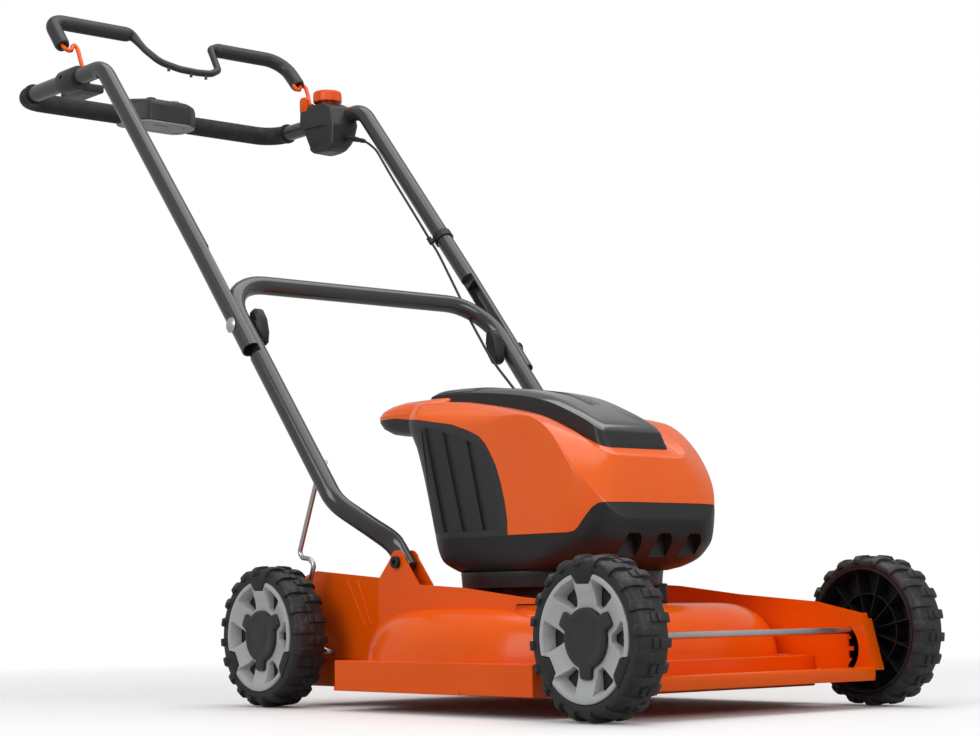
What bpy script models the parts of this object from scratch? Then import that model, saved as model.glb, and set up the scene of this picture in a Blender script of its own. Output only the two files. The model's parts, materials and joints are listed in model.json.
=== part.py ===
# Cordless lawn mower with a pressed steel deck, folding tube handle and four wheels.
# Metres, +Z up. The front faces -Y, the mower's own right side is -X.
# Measures along Y start midway between the axles; at the end the whole mower is moved
# so that its origin lies on the ground under the middle of its length.

import math

import bpy
import bmesh
from mathutils import Matrix, Vector

# Clearances
GAP = 0.0003              # between pieces that touch or are welded
PLAY = 0.0004             # radial clearance of a turning or sliding fit
MOUNT_CLEARANCE = 0.0012  # round the motor

# Wheels
WHEEL_RADIUS = 0.090
TYRE_WIDTH = 0.0495
TRACK_HALF = 0.2509       # middle plane of the mower to the outer face of a wheel
WHEELBASE = 0.616
RIM_RADIUS = 0.0702
RIM_THICKNESS = 0.0110     # from the wheel's outer face to the back of the rim
RIM_BAND = 0.0622          # inner edge of the rim's flat band
RIM_DISH = 0.0075          # depth of the dished middle
DISH_RADIUS = 0.0450
NOTCHES = 3
NOTCH_RADIUS = 0.0580
NOTCH_TURNS = (9.8, 17.5)  # degrees to each side, at the notch's floor and at the rim's edge
WINDOW_TAPER = 0.64
CORE_RADIUS = 0.0754
TREAD_DEPTH = 0.0055
TREAD_LUGS = 14
AXLE_RADIUS = 0.004
HUB_RADIUS = 0.013
HUB_INSET = 0.004         # inner end of the hub behind the wheel's inner face
COLLAR_RADIUS = 0.0085
COLLAR_THICKNESS = 0.003
CAP_RADIUS = 0.033
CAP_LOBE = 0.044
CAP_PLUG = 0.020
SPOKES = 6
CORE_RIBS = 12

# Height adjustment
DECK_LIFT = 0.042         # how far the deck rises from its lowest setting
FRONT_SLOT_RADIUS = 0.029
REAR_CRANK_RADIUS = 0.0452
LEVER_RADIUS = 0.0032

# Deck
SHEET = 0.002
PLATE = 0.0025
DECK_Y = -0.012           # centre of the blade housing
DOME_RADIUS = 0.233
DOME_TOP = 0.125
PAN_TOP = 0.061
PAN_BOTTOM = 0.024
SKIRT_X = 0.235
SKIRT_REAR = 0.163
NOSE_REAR = -0.252
NOSE_FRONT = -0.345
NOSE_FLOOR = 0.043
NOSE_LIP_TOP = 0.048
NOSE_LIP_BOTTOM = 0.032
TAIL_REAR = 0.334
FLANGE_WIDTH = 0.015
FLANGE_TO_WHEEL = 0.0044
EAR_SPACE = 0.0215        # from the outer plates' faces to the inner plates' faces
OUTER_PLATE_X = TRACK_HALF - TYRE_WIDTH - FLANGE_TO_WHEEL - FLANGE_WIDTH
INNER_PLATE_X = OUTER_PLATE_X - EAR_SPACE
SKIRT_TO_WHEEL = 0.010
LEVER_X = INNER_PLATE_X + 0.0295
REAR_WALL_TOP = 0.150

# Handle
TUBE_RADIUS = 0.0127
HANDLE_ANGLE = math.radians(50.1)
EAR_Y = 0.103
EAR_Z = 0.180
EAR_RADIUS = 0.015
LEG_X = 0.230
UPPER_X = 0.2378
FOLD_AT = 0.4146          # from the ear bolt to the fold bolt, along the leg
CROSSBAR_AT = 0.502
CROSSBAR_CORNER = 0.070
UPPER_BEND_Y = 0.730
BAR_Y = 0.985
BAR_Z = 0.920
GRIP_RADIUS = 0.0150
GRIP_CORNER = 0.036
GRIP_RETURN = 0.040       # how far each grip comes forward round the corner
UPPER_BEND_RADIUS = 0.045
KNOB_DEPTH = 0.020
KNOB_BOSS = 0.0025         # how far the boss stands out towards the tube
KNOB_BOSS_RADIUS = 0.0095
CHANNEL_LENGTH = 0.150    # open end of the upper tube above the fold bolt
CHANNEL_TAIL = 0.045      # and below it
CHANNEL_X = 0.2343        # plane where the two pressed tubes meet
BOLT_RADIUS = 0.004
EAR_BOLT_HEAD = 0.0075
FOLD_BOLT_HEAD = 0.0105

# Drive
BLADE_LENGTH = 0.440
BLADE_WIDTH = 0.052
BLADE_THICKNESS = 0.003
BLADE_Z = 0.036
SHAFT_RADIUS = 0.008
MOTOR_RADIUS = 0.058
MOTOR_TOP = 0.192
SKIRT_RING_RADIUS = 0.1265
SKIRT_RING_Y = 0.002
SKIRT_RING_BOTTOM = 0.150
HOOD_BOTTOM = 0.166
HOOD_WALL = 0.003
BASE_TOP = 0.209
FRONT_BASE_TOP = 0.244
LID_HALF_WIDTH = 0.057
LID_REAR = 0.206
LID_PIN_Y = 0.2005
LID_PIN_Z = 0.3920
LID_PIN_RADIUS = 0.0022
LID_PIN_ROUND = 0.0045
BEAK_SPLIT = 0.370
BATTERY = (0.109, 0.169, 0.104)
BATTERY_Y = 0.035
BATTERY_Z = 0.2355

# Controls
BAIL_PIVOT_Y = 0.847
BAIL_PIVOT_Z = 0.940
BAIL_ANGLE = math.radians(50)
BAIL_REACH = 0.130        # from the pivot to the middle of the bar
BAIL_DIP = 0.056          # from the pivot to the bottom of the dip
BAIL_END = 0.073          # from the pivot to the bar's two ends
BAIL_DIP_HALF = 0.070
BAIL_HALF = 0.218
BAIL_RADIUS = 0.010
BAIL_DIP_RADIUS = 0.0055
BAIL_ROD_RADIUS = 0.003
BAIL_SLOT = 0.004         # half width of the slot that a rod swings in
BOX_INNER_X = 0.200
BOX_TOP = 0.946
BUTTON_X = 0.221
BUTTON_Y = 0.806
BUTTON_RADIUS = 0.0205
BUTTON_HEIGHT = 0.018
BUTTON_TRAVEL = 0.004
BUTTON_STEM = 0.014
PANEL_HALF_WIDTH = 0.063
PANEL_Y = (0.936, 1.010)
PANEL_Z = (0.905, 0.946)
PANEL_SHELL = 0.003
KEY_RADIUS = 0.008
KEY_X = 0.022
KEY_Y = 0.953
KEY_TRAVEL = 0.0012

# Cable from the control box to the hood, route points chosen along the left tube
CABLE_RADIUS = 0.0019
GLAND_RADIUS = 0.0055
CLIP_POINT = 7            # the route point that the clip holds
CABLE_ROUTE = [
    (0.224, 0.716, 0.8720), (0.224, 0.700, 0.8650), (0.222, 0.676, 0.8470), (0.2205, 0.655, 0.8230),
    (0.2195, 0.625, 0.7870), (0.2190, 0.590, 0.7460), (0.2185, 0.560, 0.7110), (0.2180, 0.533, 0.6790),
    (0.2130, 0.506, 0.6430), (0.2040, 0.482, 0.6120), (0.1960, 0.462, 0.5830), (0.1900, 0.444, 0.5560),
    (0.1830, 0.421, 0.5250), (0.1720, 0.396, 0.4990), (0.1550, 0.364, 0.4700), (0.1360, 0.338, 0.4340),
    (0.1160, 0.314, 0.3960), (0.1010, 0.291, 0.3610), (0.0890, 0.263, 0.3290), (0.0780, 0.233, 0.3090),
    (0.0715, 0.205, 0.3025), (0.0700, 0.193, 0.3020), (0.0700, 0.1823, 0.3020),
]


def clear_scene():
    for old in list(bpy.data.objects):
        bpy.data.objects.remove(old, do_unlink=True)


def make_material(name, color, roughness, metallic=0.0):
    mat = bpy.data.materials.new(name)
    mat.use_nodes = True
    shader = mat.node_tree.nodes["Principled BSDF"]
    shader.inputs["Base Color"].default_value = (*color, 1.0)
    shader.inputs["Roughness"].default_value = roughness
    shader.inputs["Metallic"].default_value = metallic
    mat.diffuse_color = (*color, 1.0)
    return mat


# Shapes

def new_object(name, mesh):
    obj = bpy.data.objects.new(name, mesh)
    bpy.context.scene.collection.objects.link(obj)
    return obj


def solid(bm, name="shape"):
    # Turns a bmesh into an object whose faces point outwards.
    bmesh.ops.remove_doubles(bm, verts=bm.verts, dist=1e-6)
    bmesh.ops.recalc_face_normals(bm, faces=bm.faces)
    mesh = bpy.data.meshes.new(name)
    bm.to_mesh(mesh)
    bm.free()
    return new_object(name, mesh)


def prism(outline, axis, low, high):
    # Extrudes an outline along X, Y or Z; the outline lists the other two coordinates in order.
    place = {
        "x": lambda a, b, h: (h, a, b),
        "y": lambda a, b, h: (a, h, b),
        "z": lambda a, b, h: (a, b, h),
    }[axis]
    bm = bmesh.new()
    base = [bm.verts.new(place(a, b, low)) for a, b in outline]
    face = bm.faces.new(base)
    pulled = bmesh.ops.extrude_face_region(bm, geom=[face])
    moved = [v for v in pulled["geom"] if isinstance(v, bmesh.types.BMVert)]
    shift = Vector(place(0.0, 0.0, high - low))
    bmesh.ops.translate(bm, vec=shift, verts=moved)
    return solid(bm)


def block(low, high):
    outline = [(low[0], low[1]), (high[0], low[1]), (high[0], high[1]), (low[0], high[1])]
    return prism(outline, "z", low[2], high[2])


def turned(profile, axis, centre, steps):
    # Spins a profile of (radius, height) points about an axis through the centre.
    turn = {
        "z": Matrix.Identity(3),
        "x": Matrix(((0, 0, 1), (1, 0, 0), (0, 1, 0))),
        "y": Matrix(((0, 1, 0), (0, 0, 1), (1, 0, 0))),
    }[axis]
    bm = bmesh.new()
    verts = [bm.verts.new((r, 0.0, h)) for r, h in profile]
    closed = profile[0][0] > 1e-7 or profile[-1][0] > 1e-7
    pairs = list(zip(verts, verts[1:])) + ([(verts[-1], verts[0])] if closed else [])
    edges = [bm.edges.new(pair) for pair in pairs]
    bmesh.ops.spin(bm, geom=verts + edges, cent=(0, 0, 0), axis=(0, 0, 1), dvec=(0, 0, 0),
                   angle=math.tau, steps=steps, use_merge=True)
    bmesh.ops.transform(bm, matrix=Matrix.Translation(centre) @ turn.to_4x4(), verts=bm.verts)
    return solid(bm)


def cylinder(axis, centre, radius, low, high, steps=16):
    return turned([(0, low), (radius, low), (radius, high), (0, high)], axis, centre, steps)


def ring(axis, centre, inner, outer, low, high, steps=24):
    return turned([(inner, low), (outer, low), (outer, high), (inner, high)], axis, centre, steps)


def rounded_corners(points, radii, steps=4):
    # Replaces each inner corner of a run of points by an arc of its own radius.
    points = [Vector(p) for p in points]
    path = [points[0]]
    for before, corner, after, radius in zip(points, points[1:], points[2:], radii):
        a = (before - corner).normalized()
        b = (after - corner).normalized()
        half = a.angle(b) / 2
        reach = min(radius / math.tan(half), (before - corner).length * 0.95, (after - corner).length * 0.95)
        bend = reach * math.tan(half)
        middle = corner + (a + b).normalized() * (bend / math.sin(half))
        start = corner + a * reach - middle
        end = corner + b * reach - middle
        sweep = start.angle(end)
        for k in range(steps + 1):
            t = k / steps
            arm = (start * math.sin((1 - t) * sweep) + end * math.sin(t * sweep)) / math.sin(sweep)
            path.append(middle + arm)
    path.append(points[-1])
    return path


def evaluated(obj):
    # Replaces an object's curve or modifiers by the mesh that they give.
    graph = bpy.context.evaluated_depsgraph_get()
    mesh = bpy.data.meshes.new_from_object(obj.evaluated_get(graph))
    if obj.type == "CURVE":
        made = new_object(obj.name, mesh)
        bpy.data.objects.remove(obj, do_unlink=True)
        return made
    obj.modifiers.clear()
    obj.data = mesh
    return obj


def swept_curve(name, points, radius, resolution, widths=None):
    curve = bpy.data.curves.new(name, "CURVE")
    curve.dimensions = "3D"
    curve.bevel_depth = radius
    curve.bevel_resolution = resolution
    curve.use_fill_caps = True
    spline = curve.splines.new("POLY")
    spline.points.add(len(points) - 1)
    for k, (slot, point) in enumerate(zip(spline.points, points)):
        slot.co = (*point, 1.0)
        slot.radius = widths[k] if widths else 1.0
    return new_object(name, curve)


def tube(points, radius, resolution=3, widths=None):
    swept = evaluated(swept_curve("tube", points, radius, resolution, widths))
    bm = bmesh.new()
    bm.from_mesh(swept.data)
    bpy.data.objects.remove(swept, do_unlink=True)
    return solid(bm)


def boolean(target, tool, operation):
    mod = target.modifiers.new(operation, "BOOLEAN")
    mod.operation = operation
    mod.solver = "EXACT"
    mod.object = tool
    target = evaluated(target)
    bpy.data.objects.remove(tool, do_unlink=True)
    return target


def cut(target, *tools):
    for tool in tools:
        target = boolean(target, tool, "DIFFERENCE")
    return target


def fuse(target, *tools):
    for tool in tools:
        target = boolean(target, tool, "UNION")
    return target


def shared(target, tool):
    return boolean(target, tool, "INTERSECT")


def copy_of(obj):
    return new_object(obj.name, obj.data.copy())


def bevelled(obj, width, angle=40, segments=1):
    mod = obj.modifiers.new("bevel", "BEVEL")
    mod.width = width
    mod.segments = segments
    mod.limit_method = "ANGLE"
    mod.angle_limit = math.radians(angle)
    return evaluated(obj)


def moved(obj, matrix):
    obj.data.transform(matrix)
    if matrix.determinant() < 0:
        obj.data.flip_normals()
    return obj


def mirrored(obj):
    twin = copy_of(obj)
    return moved(twin, Matrix.Scale(-1, 4, (1, 0, 0)))


def finish(obj, name, material, parent, smooth=32):
    # Names a finished piece and hangs it on its body's empty, with its origin on that empty.
    obj.name = name
    obj.data.name = name
    obj.data.materials.clear()
    obj.data.materials.append(material)
    if smooth:
        obj.data.shade_smooth()
        obj.data.set_sharp_from_angle(angle=math.radians(smooth))
    obj.data.transform(Matrix.Translation(-parent.location))
    obj.parent = parent
    return obj


def axis_empty(name, point):
    empty = bpy.data.objects.new(name, None)
    empty.empty_display_size = 0.03
    empty.location = point
    bpy.context.scene.collection.objects.link(empty)
    return empty


# Wheels

def tread_radius(index, kind):
    # Two points of each lug are high and the third is a groove.
    low = index % 3 == 2
    if kind == "land":
        return WHEEL_RADIUS - (TREAD_DEPTH if low else 0.0)
    return WHEEL_RADIUS - (TREAD_DEPTH * 0.4 if low else 0.0)


def tyre_columns():
    # From the lip on the outer face over the tread to the inner face, and back along the seat.
    half = TYRE_WIDTH / 2
    shoulder = WHEEL_RADIUS - 0.008
    step = -half + RIM_THICKNESS
    return [
        (-half + 0.0005, RIM_RADIUS + GAP, None, 0),
        (-half, shoulder, None, 0),
        (-half + 0.006, None, "land", 0),
        (-0.004, None, "rib", 0),
        (0.004, None, "rib", 1),
        (half - 0.006, None, "land", 1),
        (half, shoulder, None, 0),
        (half, CORE_RADIUS + GAP, None, 0),
        (step, CORE_RADIUS + GAP, None, 0),
        (step, RIM_RADIUS + GAP, None, 0),
    ]


def tyre_shape():
    # The lowest facet of the tread lies flat on the ground.
    steps = TREAD_LUGS * 3
    step = math.tau / steps
    bm = bmesh.new()
    rings = []
    for x, radius, kind, shift in tyre_columns():
        column = []
        for k in range(steps):
            r = radius if radius else tread_radius(k + shift, kind) / math.cos(step / 2)
            angle = -math.pi / 2 + (k - 0.5) * step
            column.append(bm.verts.new((x, r * math.cos(angle), r * math.sin(angle))))
        rings.append(column)
    for a, b in zip(rings, rings[1:] + rings[:1]):
        for k in range(steps):
            bm.faces.new((a[k], a[(k + 1) % steps], b[(k + 1) % steps], b[k]))
    return solid(bm)


def wheel_core_shape():
    # Black hub behind the rim, open towards the mower, with ribs and a pocket for the push nut.
    half = TYRE_WIDTH / 2
    front = -half + RIM_THICKNESS + GAP
    back = front + 0.0035
    bore = AXLE_RADIUS + PLAY
    pocket = COLLAR_RADIUS + 0.001
    profile = [
        (bore, front + COLLAR_THICKNESS + PLAY), (pocket, front + COLLAR_THICKNESS + PLAY), (pocket, front),
        (CORE_RADIUS, front), (CORE_RADIUS, half - 0.0005), (CORE_RADIUS - 0.003, half - 0.0005),
        (CORE_RADIUS - 0.003, back), (HUB_RADIUS, back),
        (HUB_RADIUS, half - HUB_INSET), (bore, half - HUB_INSET),
    ]
    core = turned(profile, "x", (0, 0, 0), 20)
    for k in range(CORE_RIBS):
        rib = block((back - 0.001, -0.0007, HUB_RADIUS - 0.001), (half - 0.012, 0.0007, CORE_RADIUS - 0.002))
        core = fuse(core, moved(rib, turn_about_hub(k / CORE_RIBS)))
    for k in range(NOTCHES):
        tab = prism(notch_outline(GAP, 0.0), "x", -half + 0.0009, front + 0.001)
        core = fuse(core, moved(tab, turn_about_hub(k / NOTCHES)))
    return core


def turn_about_hub(share):
    return Matrix.Rotation(share * math.tau, 4, "X")


def notch_outline(inset, reach):
    # Notch in the rim's edge, seen from the side; set in by the gap it is the black tab that fills it.
    low, high = (math.radians(turn) for turn in NOTCH_TURNS)
    low -= inset / NOTCH_RADIUS
    high -= inset / RIM_RADIUS
    half = [(NOTCH_RADIUS + inset, low), (RIM_RADIUS, high), (RIM_RADIUS + reach, high * 0.6)]
    points = [(r, -a) for r, a in reversed(half)] + half
    return [(r * math.sin(a), r * math.cos(a)) for r, a in points]


def frustum(face, deep, low, high):
    # Joins an outline at one depth to a smaller one behind it, along X.
    bm = bmesh.new()
    front = [bm.verts.new((low, y, z)) for y, z in face]
    back = [bm.verts.new((high, y, z)) for y, z in deep]
    count = len(front)
    for k in range(count):
        bm.faces.new((front[k], front[(k + 1) % count], back[(k + 1) % count], back[k]))
    bm.faces.new(front)
    bm.faces.new(list(reversed(back)))
    return solid(bm)


def window_cutter(index):
    # Window between two spokes; its walls close in towards the back.
    middle = 0.0447
    half = [(0.0052, 0.0350), (0.0184, 0.0596), (0.0090, 0.0630)]
    face = half + [(-y, z) for y, z in reversed(half)]
    deep = [(y * WINDOW_TAPER, middle + (z - middle) * WINDOW_TAPER) for y, z in face]
    outside = -TYRE_WIDTH / 2 - 0.0002
    cutter = frustum(face, deep, outside, outside + RIM_THICKNESS + 0.001)
    return moved(cutter, turn_about_hub((index + 0.5) / SPOKES))


def rim_shape():
    # Dished wheel with six windows and a notched edge.
    face = -TYRE_WIDTH / 2
    back = face + RIM_THICKNESS
    hole = CAP_PLUG + GAP
    profile = [
        (hole, back), (RIM_RADIUS, back), (RIM_RADIUS, face + 0.0015), (RIM_RADIUS - 0.0015, face),
        (RIM_BAND, face), (RIM_BAND - 0.003, face + 0.0016), (DISH_RADIUS, face + RIM_DISH),
        (hole, face + RIM_DISH),
    ]
    rim = turned(profile, "x", (0, 0, 0), 24)
    for k in range(SPOKES):
        rim = cut(rim, window_cutter(k))
    for k in range(NOTCHES):
        notch = prism(notch_outline(0.0, 0.006), "x", face - 0.001, back + 0.001)
        rim = cut(rim, moved(notch, turn_about_hub(k / NOTCHES)))
    return rim


def cap_outline():
    # A round cap with three square lobes.
    points = []
    for k in range(3):
        middle = 30 + 120 * k
        turns = [(CAP_LOBE, -9), (CAP_LOBE, 9)] + [(CAP_RADIUS, 17 + 21.5 * step) for step in range(5)]
        points += [(radius, math.radians(middle + turn)) for radius, turn in turns]
    return [(r * math.cos(a), r * math.sin(a)) for r, a in points]


def cap_shape():
    # Hub cap with a plain face, held in the rim's middle hole by its plug.
    face = -TYRE_WIDTH / 2
    seat = face + RIM_DISH - GAP
    cap = bevelled(prism(cap_outline(), "x", face + 0.0018, seat), 0.0012, 60)
    return fuse(cap, cylinder("x", (0, 0, 0), CAP_PLUG, seat - 0.001, face + RIM_THICKNESS, 16))


def wheel_shapes():
    return {"tyre": tyre_shape(), "core": wheel_core_shape(), "rim": rim_shape(), "cap": cap_shape()}


def build_wheel(side, end, parent, shapes, looks):
    # The left wheel is the right wheel turned round; a half turn keeps the flat facet at the bottom.
    turn = Matrix.Identity(4) if side == "right" else Matrix.Rotation(math.pi, 4, "Z")
    place = Matrix.Translation(parent.location) @ turn
    for name, look in (("tyre", "tyre"), ("core", "black"), ("rim", "rim"), ("cap", "dark")):
        piece = moved(copy_of(shapes[name]), place)
        finish(piece, f"{side}_{end}_{name}", looks[look], parent, 30)


# Deck

def pan_outline(inset):
    s = SKIRT_X - inset
    n = OUTER_PLATE_X - PLATE - GAP - inset
    t = INNER_PLATE_X - PLATE - GAP - inset
    front_wheel_rear = -WHEELBASE / 2 + WHEEL_RADIUS
    skirt_front = front_wheel_rear + SKIRT_TO_WHEEL + inset
    nose = NOSE_REAR + inset
    rear = SKIRT_REAR - inset
    tail = TAIL_REAR - inset
    return [
        (-s, skirt_front), (-n, skirt_front), (-n, nose), (n, nose), (n, skirt_front), (s, skirt_front),
        (s, rear), (t, rear), (t, tail), (-t, tail), (-t, rear), (-s, rear),
    ]


def dome_profile(inset, bottom):
    r = DOME_RADIUS - inset
    top = DOME_TOP - inset
    return [
        (0, bottom), (r, bottom), (r, PAN_TOP - inset), (r - 0.003, 0.078 - inset),
        (r - 0.011, 0.094 - inset), (r - 0.025, 0.108 - inset), (r - 0.045, 0.118 - inset),
        (r - 0.070, top), (0, top),
    ]


def deck_form(inset, bottom, steps=36):
    # The blade housing's outer form, or its inner form when it is set in by the sheet.
    pan = prism(pan_outline(inset), "z", bottom, PAN_TOP - inset)
    dome = turned(dome_profile(inset, bottom), "z", (0, DECK_Y, 0), steps)
    return fuse(pan, dome)


def build_deck(parent, looks):
    deck = deck_form(0.0, PAN_BOTTOM)
    deck = cut(deck, deck_form(SHEET, PAN_BOTTOM - 0.010))
    deck = cut(deck, cylinder("z", (0, DECK_Y, 0), SHAFT_RADIUS + 0.012, 0.05, 0.2, 20))
    deck = fuse(deck, nose_channel())
    finish(deck, "deck", looks["orange"], parent, 28)


def nose_channel():
    # Front tray with a rolled lip, joined to the front wall of the pan.
    x = OUTER_PLATE_X - PLATE - GAP
    floor = NOSE_FLOOR
    front = NOSE_FRONT
    outline = [
        (NOSE_REAR + SHEET / 2, floor), (NOSE_REAR + SHEET / 2, floor - SHEET),
        (front + 0.010, floor - SHEET), (front + 0.004, floor - SHEET - 0.002),
        (front + 0.003, NOSE_LIP_BOTTOM), (front, NOSE_LIP_BOTTOM), (front - 0.001, floor - 0.002),
        (front + 0.001, NOSE_LIP_TOP - 0.001), (front + 0.004, NOSE_LIP_TOP),
        (front + 0.008, NOSE_LIP_TOP - 0.0015), (front + 0.012, floor),
    ]
    return prism(outline, "x", -x, x)


def ear_outline():
    # Rounded ear about the handle bolt, from its front flank to its rear flank.
    angles = [math.radians(165 - 25 * k) for k in range(7)]
    return [(EAR_Y + EAR_RADIUS * math.cos(a), EAR_Z + EAR_RADIUS * math.sin(a)) for a in angles]


def front_slot(x_low, x_high):
    # Curved slot of the front axle, with two seats at its ends and two notches between.
    _, centre_y, centre_z = front_pivot()
    half = AXLE_RADIUS + PLAY
    reach = math.asin(DECK_LIFT / 2 / FRONT_SLOT_RADIUS)
    angles = [math.pi - reach + 2 * reach * k / 8 for k in range(9)]
    wide, slim = FRONT_SLOT_RADIUS + half, FRONT_SLOT_RADIUS - half
    outer = [(centre_y + wide * math.cos(a), centre_z + wide * math.sin(a)) for a in angles]
    inner = [(centre_y + slim * math.cos(a), centre_z + slim * math.sin(a)) for a in reversed(angles)]
    slot = prism(outer + inner, "x", x_low, x_high)
    for side in (-1, 1):
        a = math.pi + side * reach
        seat = (0, centre_y + FRONT_SLOT_RADIUS * math.cos(a), centre_z + FRONT_SLOT_RADIUS * math.sin(a))
        slot = fuse(slot, cylinder("x", seat, half * 1.03, x_low, x_high, 14))
        notch_z = centre_z + side * DECK_LIFT / 6
        notch = block((x_low, centre_y - FRONT_SLOT_RADIUS, notch_z - half),
                      (x_high, centre_y - FRONT_SLOT_RADIUS + 2.6 * half, notch_z + half))
        slot = fuse(slot, notch)
    return slot


def outer_plate_outline():
    front_top = (-0.326, 0.111)
    return [
        (0.142, PAN_TOP - 0.001), (0.142, 0.159), *reversed(ear_outline()),
        (EAR_Y - 0.042, 0.152), (-0.024, 0.147),
        (-0.131, 0.135), (-0.256, 0.125), front_top, (NOSE_FRONT, NOSE_FLOOR + 0.001),
        (NOSE_REAR, NOSE_FLOOR + 0.001), (NOSE_REAR + 0.03, PAN_TOP - 0.001),
    ]


def side_flange():
    # Flange turned outwards along the front edge of the side plate.
    edge = [(-0.326, 0.111), (NOSE_FRONT, NOSE_FLOOR + 0.001)]
    inner = [(y + PLATE, z) for y, z in edge]
    outline = [edge[0], edge[1], inner[1], inner[0]]
    flange = prism(outline, "x", -OUTER_PLATE_X - FLANGE_WIDTH, -OUTER_PLATE_X + 0.001)
    edge_x = -OUTER_PLATE_X - FLANGE_WIDTH
    return cut(flange, block((edge_x - 0.01, -0.4, 0.104), (edge_x + 0.006, -0.3, 0.2)))


def build_outer_plates(parent, looks):
    low = -OUTER_PLATE_X
    high = low + PLATE
    plate = prism(outer_plate_outline(), "x", low, high)
    plate = fuse(plate, side_flange())
    plate = cut(plate, front_slot(low - 0.01, high + 0.01))
    plate = cut(plate, cylinder("x", (0, EAR_Y, EAR_Z), BOLT_RADIUS + PLAY, low - 0.01, high + 0.01, 16))
    plate = cut(plate, deck_form(-GAP, PAN_BOTTOM))
    finish(mirrored(plate), "left_side_plate", looks["orange"], parent)
    window = block((low - 0.01, -0.190, 0.108), (high + 0.01, -0.120, 0.127))
    finish(cut(plate, window), "right_side_plate", looks["orange"], parent)


def inner_plate_outline():
    return [
        (0.050, 0.100), (EAR_Y - 0.042, 0.152), *ear_outline(), (EAR_Y + 0.039, 0.160),
        (0.304, 0.173), (TAIL_REAR, 0.166), (TAIL_REAR, PAN_TOP - 0.001), (0.050, PAN_TOP - 0.001),
    ]


def build_inner_plates(parent, looks):
    low = -INNER_PLATE_X
    high = low + PLATE
    plate = prism(inner_plate_outline(), "x", low, high)
    for start, end in (((0.236, 0.161), (0.196, 0.100)), ((0.213, 0.158), (0.186, 0.104))):
        outline = [start, (start[0] + 0.003, start[1]), (end[0] + 0.003, end[1]), end]
        rib = prism(outline, "x", low - 0.0012, low + 0.001)
        plate = fuse(plate, rib)
    plate = cut(plate, cylinder("x", (0, EAR_Y, EAR_Z), BOLT_RADIUS + PLAY, low - 0.01, high + 0.01, 16))
    plate = cut(plate, cylinder("x", rear_pivot(), AXLE_RADIUS + PLAY, low - 0.01, high + 0.01, 16))
    plate = cut(plate, deck_form(-GAP, PAN_BOTTOM))
    finish(mirrored(plate), "left_rear_plate", looks["orange"], parent)
    finish(plate, "right_rear_plate", looks["orange"], parent)


def build_rear_wall(parent, looks):
    x = INNER_PLATE_X - PLATE - GAP
    wall = block((-x, TAIL_REAR - PLATE, PAN_TOP + GAP), (x, TAIL_REAR, REAR_WALL_TOP))
    lip = block((-x, TAIL_REAR - 0.012, REAR_WALL_TOP - PLATE), (x, TAIL_REAR, REAR_WALL_TOP))
    wall = fuse(wall, lip)
    for k in range(-1, 2):
        bead = block((k * 0.09 - 0.03, TAIL_REAR - 0.001, 0.085), (k * 0.09 + 0.03, TAIL_REAR + 0.002, 0.125))
        wall = fuse(wall, bead)
    finish(bevelled(wall, 0.0008, 60), "rear_wall", looks["orange"], parent)


# Axles

def front_pivot():
    y = -WHEELBASE / 2 + math.sqrt(FRONT_SLOT_RADIUS ** 2 - (DECK_LIFT / 2) ** 2)
    return (0.0, y, WHEEL_RADIUS - DECK_LIFT / 2)


def rear_pivot():
    y = WHEELBASE / 2 - math.sqrt(REAR_CRANK_RADIUS ** 2 - (DECK_LIFT / 2) ** 2)
    return (0.0, y, WHEEL_RADIUS - DECK_LIFT / 2)


def wheel_centre(side, end):
    x = TRACK_HALF - TYRE_WIDTH / 2
    return (-x if side == "right" else x, WHEELBASE / 2 * (1 if end == "rear" else -1), WHEEL_RADIUS)


def axle_end():
    # The rod stops just behind the hub cap.
    return TRACK_HALF - RIM_THICKNESS - GAP


def collar_faces():
    # Outer faces of the thrust collar inside a wheel and of the push nut outside its hub.
    return (TRACK_HALF - TYRE_WIDTH + HUB_INSET - GAP, axle_end() - GAP)


def build_front_axle(parent, looks):
    end = axle_end()
    half = [(AXLE_RADIUS, 0.0)]
    for face in collar_faces():
        start = face - COLLAR_THICKNESS
        half += [(AXLE_RADIUS, start), (COLLAR_RADIUS, start), (COLLAR_RADIUS, face), (AXLE_RADIUS, face)]
    half += [(AXLE_RADIUS, end), (0.0, end)]
    profile = [(r, -x) for r, x in reversed(half[1:])] + half[1:]
    rod = turned(profile, "x", (0, -WHEELBASE / 2, WHEEL_RADIUS), 10)
    finish(rod, "front_axle", looks["steel"], parent)


def build_rear_axle(parent, looks):
    _, y, z = rear_pivot()
    crank_x = INNER_PLATE_X + 0.010
    end = axle_end()
    wheel_y = WHEELBASE / 2
    half = [(crank_x, y, z), (crank_x + 0.006, wheel_y, WHEEL_RADIUS), (end, wheel_y, WHEEL_RADIUS)]
    points = [(-x, b, c) for x, b, c in reversed(half)] + half
    rod = tube(rounded_corners(points, (0.007,) * 4, 2), AXLE_RADIUS, 2)
    for side in (-1, 1):
        for face in collar_faces():
            low, high = sorted((side * face, side * (face - COLLAR_THICKNESS)))
            rod = fuse(rod, cylinder("x", (0, wheel_y, WHEEL_RADIUS), COLLAR_RADIUS, low, high, 11))
    finish(rod, "rear_axle", looks["steel"], parent)


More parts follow.
